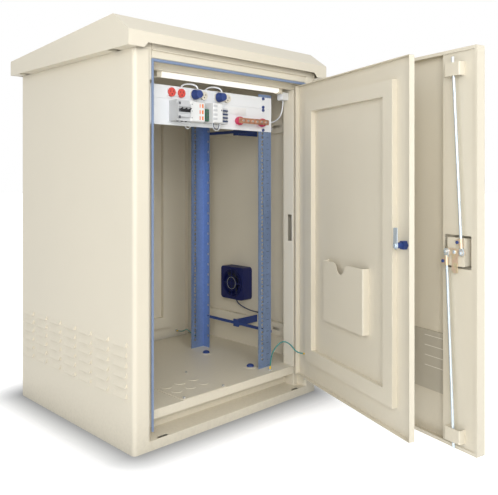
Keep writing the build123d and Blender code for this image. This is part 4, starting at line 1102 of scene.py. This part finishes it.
class CABINET_OT_cables(CabinetOperator, bpy.types.Operator):
    """Lay the plug cords, the lamp cable, the fan cable and the small loops"""

    bl_idname = "cabinet.cables"
    bl_label = "Cables"

    def execute(self, context):
        scale = sizes()
        lean = 0.054
        for name, x in (("left_plug_cord", -0.114), ("right_plug_cord", -0.002)):
            route = [
                (x, -0.305, 1.1504),
                (x, -0.305, 1.169),
                (x - lean, -0.262, 1.169),
                (x - lean, -0.262, 1.1119),
            ]
            cord_piece(name + "_line", route, scale.cord_radius, "wire", name)
        route = [
            (0.323, -0.305, 1.1495),
            (0.323, -0.305, 1.090),
            (0.323, -0.238, 1.060),
            (0.2855, -0.238, 1.066),
        ]
        thick = scale.cable_radius
        cord_piece("lamp_cable_line", route, thick, "wire", "lamp_cable")
        route = [
            (0.401, 0.046, 0.3095),
            (0.401, 0.046, 0.286),
            (0.374, -0.107, 0.270),
            (0.284, -0.259, 0.310),
        ]
        cord_piece("fan_cable_line", route, thick, "dark_wire", "fan_cable")
        loops = (
            ("relay_loop", -0.070, -0.034, -0.332, 1.010, "wire"),
            ("relay_loop_short", -0.058, -0.032, -0.324, 1.016, "dark_wire"),
            ("breaker_loop", -0.178, -0.150, -0.312, 1.012, "wire"),
        )
        top = 1.0362
        for name, left, right, y, low, finish in loops:
            route = [(left, y, top), (left, y, low), (right, y, low), (right, y, top)]
            cord_piece(name, route, scale.wire_radius, finish)
        return {"FINISHED"}


class CABINET_OT_straps(CabinetOperator, bpy.types.Operator):
    """Hang the earth straps with their sleeves and lugs"""

    bl_idname = "cabinet.straps"
    bl_label = "Earth straps"

    def execute(self, context):
        door_route = [
            (0.236, -0.318, 0.106),
            (0.238, -0.319, 0.146),
            (0.246, -0.326, 0.183),
            (0.268, -0.349, 0.219),
            (0.281, -0.380, 0.212),
            (0.283, -0.416, 0.178),
            (0.3203, -0.4319, 0.176),
        ]
        rear_route = [
            (0.311, 0.362, 0.127),
            (0.310, 0.320, 0.129),
            (0.299, 0.284, 0.143),
            (0.282, 0.250, 0.159),
            (0.270, 0.211, 0.154),
            (0.266, 0.171, 0.144),
            (0.266, 0.130, 0.142),
        ]
        self.strap("door_strap", door_route, "inner_door")
        self.strap("rear_strap", rear_route, None)
        return {"FINISHED"}

    def strap(self, node, route, far_body):
        """Hang one strap; with a far body it is turned into a mesh tube, and its far lug rides
        that body.
        """
        radius = sizes().strap_radius
        piece = nurbs_curve(node + "_line", route)
        places = line_points(piece)
        thicken(piece.data, radius, "earth")
        if far_body:
            piece = self.tube_of(piece)
        else:
            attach(piece, "cabinet")
        on_it = [
            self.lug(node + "_near", places[0], places[1], "cabinet"),
            self.lug(node + "_far", places[-1], places[-2], far_body or "cabinet"),
        ]
        if far_body:
            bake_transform(piece)
        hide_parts(node)

    def tube_of(self, line):
        """Turn a thick curve into a mesh piece of the same name."""
        name = line.name
        depsgraph = bpy.context.evaluated_depsgraph_get()
        depsgraph.update()
        mesh = bpy.data.meshes.new_from_object(line.evaluated_get(depsgraph))
        bpy.data.objects.remove(line)
        piece = bpy.data.objects.new(name, mesh)
        bpy.context.scene.collection.objects.link(piece)
        mesh.materials.clear()
        mesh.materials.append(finish_of("earth"))
        return piece

    def lug(self, name, root, beyond, body):
        """Crimped yellow sleeve over a strap's end, with a nut at its foot."""
        way = (beyond - root).normalized()
        radius = sizes().strap_radius
        nut_radius, nut_top, sleeve_end, wall = 0.0062, 0.0042, 0.0164, 0.0012
        nut = [
            (0.0, 0.0),
            (nut_radius, 0.0),
            (nut_radius, 0.0035),
            (0.0034, nut_top),
            (0.0, nut_top),
        ]
        lathes(name + "_nut", [root], nut, way, "rod", body, 6)
        sleeve = [
            (radius, nut_top),
            (radius + wall, 0.0046),
            (radius + wall, 0.0150),
            (radius + 0.0004, sleeve_end),
            (radius, sleeve_end),
        ]
        return lathes(name + "_sleeve", [root], sleeve, way, "yellow", body)


class CABINET_OT_stage(CabinetOperator, bpy.types.Operator):
    """Set the floor, the light and the camera"""

    bl_idname = "cabinet.stage"
    bl_label = "Stage"

    def execute(self, context):
        scene = context.scene
        look = scene.cabinet_stage
        self.floor(scene)
        self.sky(scene)
        self.lamp(scene, "key_lamp", (-0.9, -4.1, 3.0), (0.0, 0.0, 0.5), 2.4, look.key)
        self.lamp(scene, "fill_lamp", (-4.2, -0.9, 2.2), (0.0, -0.2, 0.6), 3.0, look.fill)
        self.lamp(scene, "eye_lamp", (-2.3, -2.75, 1.35), (0.1, -0.4, 0.6), 1.4, look.near_eye)
        self.camera(scene, look)
        scene.view_settings.view_transform = "Standard"
        return {"FINISHED"}

    def floor(self, scene):
        """White floor with a painted shadow that makes it darker close to the cabinet's foot."""
        reach, half_wide, half_deep = 30.0, 0.40, 0.36
        # dark is the colour of the painted shadow at the cabinet's foot
        dark, pale = (0.20, 0.205, 0.215), (0.80, 0.80, 0.80)
        glow_in_painted_shadow, glow_more = 0.03, 0.68
        shape = bmesh.new()
        bmesh.ops.create_grid(shape, x_segments=1, y_segments=1, size=reach)
        mesh = bpy.data.meshes.new("studio_floor")
        shape.to_mesh(mesh)
        shape.free()
        floor = bpy.data.objects.new("studio_floor", mesh)
        scene.collection.objects.link(floor)
        finish = Finish("studio_floor")
        seen = finish.node("ShaderNodeLightPath", output="Is Camera Ray")
        for kind in MIRRORED_RAYS:
            seen = seen.sum("MAXIMUM", seen, finish.node("ShaderNodeLightPath", output=kind))
        across = finish.node("ShaderNodeSeparateXYZ", None, {0: finish.place}, "X")
        along = finish.node("ShaderNodeSeparateXYZ", None, {0: finish.place}, "Y")
        beside = across.sum("ABSOLUTE", across, 0.0) - half_wide
        before = along.sum("ABSOLUTE", along, 0.0) - half_deep
        beside = beside.sum("MAXIMUM", beside, 0.0)
        before = before.sum("MAXIMUM", before, 0.0)
        gap = (beside * beside + before * before) ** 0.5
        # painted shadow: the base colour runs from dark to pale, and the camera's glow rises, with
        # the distance from the foot
        away = finish.band(gap, 0.0, 0.24)
        near = finish.band(gap, 0.02, 0.16)
        finish.set(Base_Color=finish.blend(dark, pale, near), Roughness=0.9)
        finish.set(Emission_Color=seen * (glow_in_painted_shadow + glow_more * away), Emission_Strength=1.0)
        mesh.materials.append(finish.material)

    def sky(self, scene):
        """Soft sky that the camera and mirrors see as plain white."""
        sky_colour, sky_strength = (0.96, 0.98, 1.0, 1.0), 0.55
        world = bpy.data.worlds.new("studio_world")
        scene.world = world
        world.use_nodes = True
        nodes, links = world.node_tree.nodes, world.node_tree.links
        nodes.clear()
        sky = nodes.new("ShaderNodeBackground")
        sky.inputs["Color"].default_value = sky_colour
        sky.inputs["Strength"].default_value = sky_strength
        white = nodes.new("ShaderNodeBackground")
        white.inputs["Color"].default_value = (1.0, 1.0, 1.0, 1.0)
        white.inputs["Strength"].default_value = 1.0
        path = nodes.new("ShaderNodeLightPath")
        mix = nodes.new("ShaderNodeMixShader")
        ending = nodes.new("ShaderNodeOutputWorld")
        seen = path.outputs["Is Camera Ray"]
        for kind in MIRRORED_RAYS:
            either = nodes.new("ShaderNodeMath")
            either.operation = "MAXIMUM"
            links.new(seen, either.inputs[0])
            links.new(path.outputs[kind], either.inputs[1])
            seen = either.outputs[0]
        links.new(seen, mix.inputs[0])
        links.new(sky.outputs[0], mix.inputs[1])
        links.new(white.outputs[0], mix.inputs[2])
        links.new(mix.outputs[0], ending.inputs["Surface"])

    def camera(self, scene, look):
        """Level camera where the photograph was taken from."""
        image_width, drop = 498.0, 70.2
        camera = bpy.data.cameras.new("photo_camera")
        camera.sensor_width = 36.0
        camera.lens = look.lens
        camera.shift_y = -drop / image_width
        eye = bpy.data.objects.new("photo_camera", camera)
        eye.location = look.eye
        eye.rotation_euler = (radians(90.0), 0.0, -look.heading)
        scene.collection.objects.link(eye)
        scene.camera = eye

    def lamp(self, scene, name, place, target, size, power):
        """Square soft lamp turned to a target."""
        light = bpy.data.lights.new(name, "AREA")
        light.shape = "SQUARE"
        light.size = size
        light.energy = power
        lamp = bpy.data.objects.new(name, light)
        lamp.location = place
        lamp.rotation_euler = (Vector(target) - Vector(place)).to_track_quat("-Z", "Y").to_euler()
        scene.collection.objects.link(lamp)


PIECES = (
    CABINET_OT_sheet_metal,
    CABINET_OT_vent,
    CABINET_OT_rail_marks,
    CABINET_OT_devices,
    CABINET_OT_device_details,
    CABINET_OT_locks,
    CABINET_OT_cables,
    CABINET_OT_straps,
    CABINET_OT_stage,
)


class CABINET_PT_tools(bpy.types.Panel):
    """Lists the steps that dress the cabinet"""

    bl_idname = "CABINET_PT_tools"
    bl_label = "Cabinet"
    bl_space_type = "VIEW_3D"
    bl_region_type = "UI"
    bl_category = "Cabinet"

    def draw(self, context):
        for piece in PIECES:
            self.layout.operator(piece.bl_idname)
        for group in ("cabinet_colours", "cabinet_sizes", "cabinet_stage"):
            settings = getattr(context.scene, group)
            box = self.layout.box()
            for name in settings.__annotations__:
                box.prop(settings, name)


CLASSES = (CabinetColours, CabinetSizes, CabinetStage, *PIECES, CABINET_PT_tools)


def register():
    """Make the classes and their settings known to Blender."""
    for item in CLASSES:
        bpy.utils.register_class(item)
    scene = bpy.types.Scene
    scene.cabinet_colours = bpy.props.PointerProperty(type=CabinetColours)
    scene.cabinet_sizes = bpy.props.PointerProperty(type=CabinetSizes)
    scene.cabinet_stage = bpy.props.PointerProperty(type=CabinetStage)


def unregister():
    """Take the classes and their settings away again."""
    for name in ("cabinet_colours", "cabinet_sizes", "cabinet_stage"):
        delattr(bpy.types.Scene, name)
    for item in reversed(CLASSES):
        bpy.utils.unregister_class(item)


def main():
    """Run every step."""
    register()
    for piece in PIECES:
        group, step = piece.bl_idname.split(".")
        getattr(getattr(bpy.ops, group), step)()


if __name__ == "__main__":
    main()
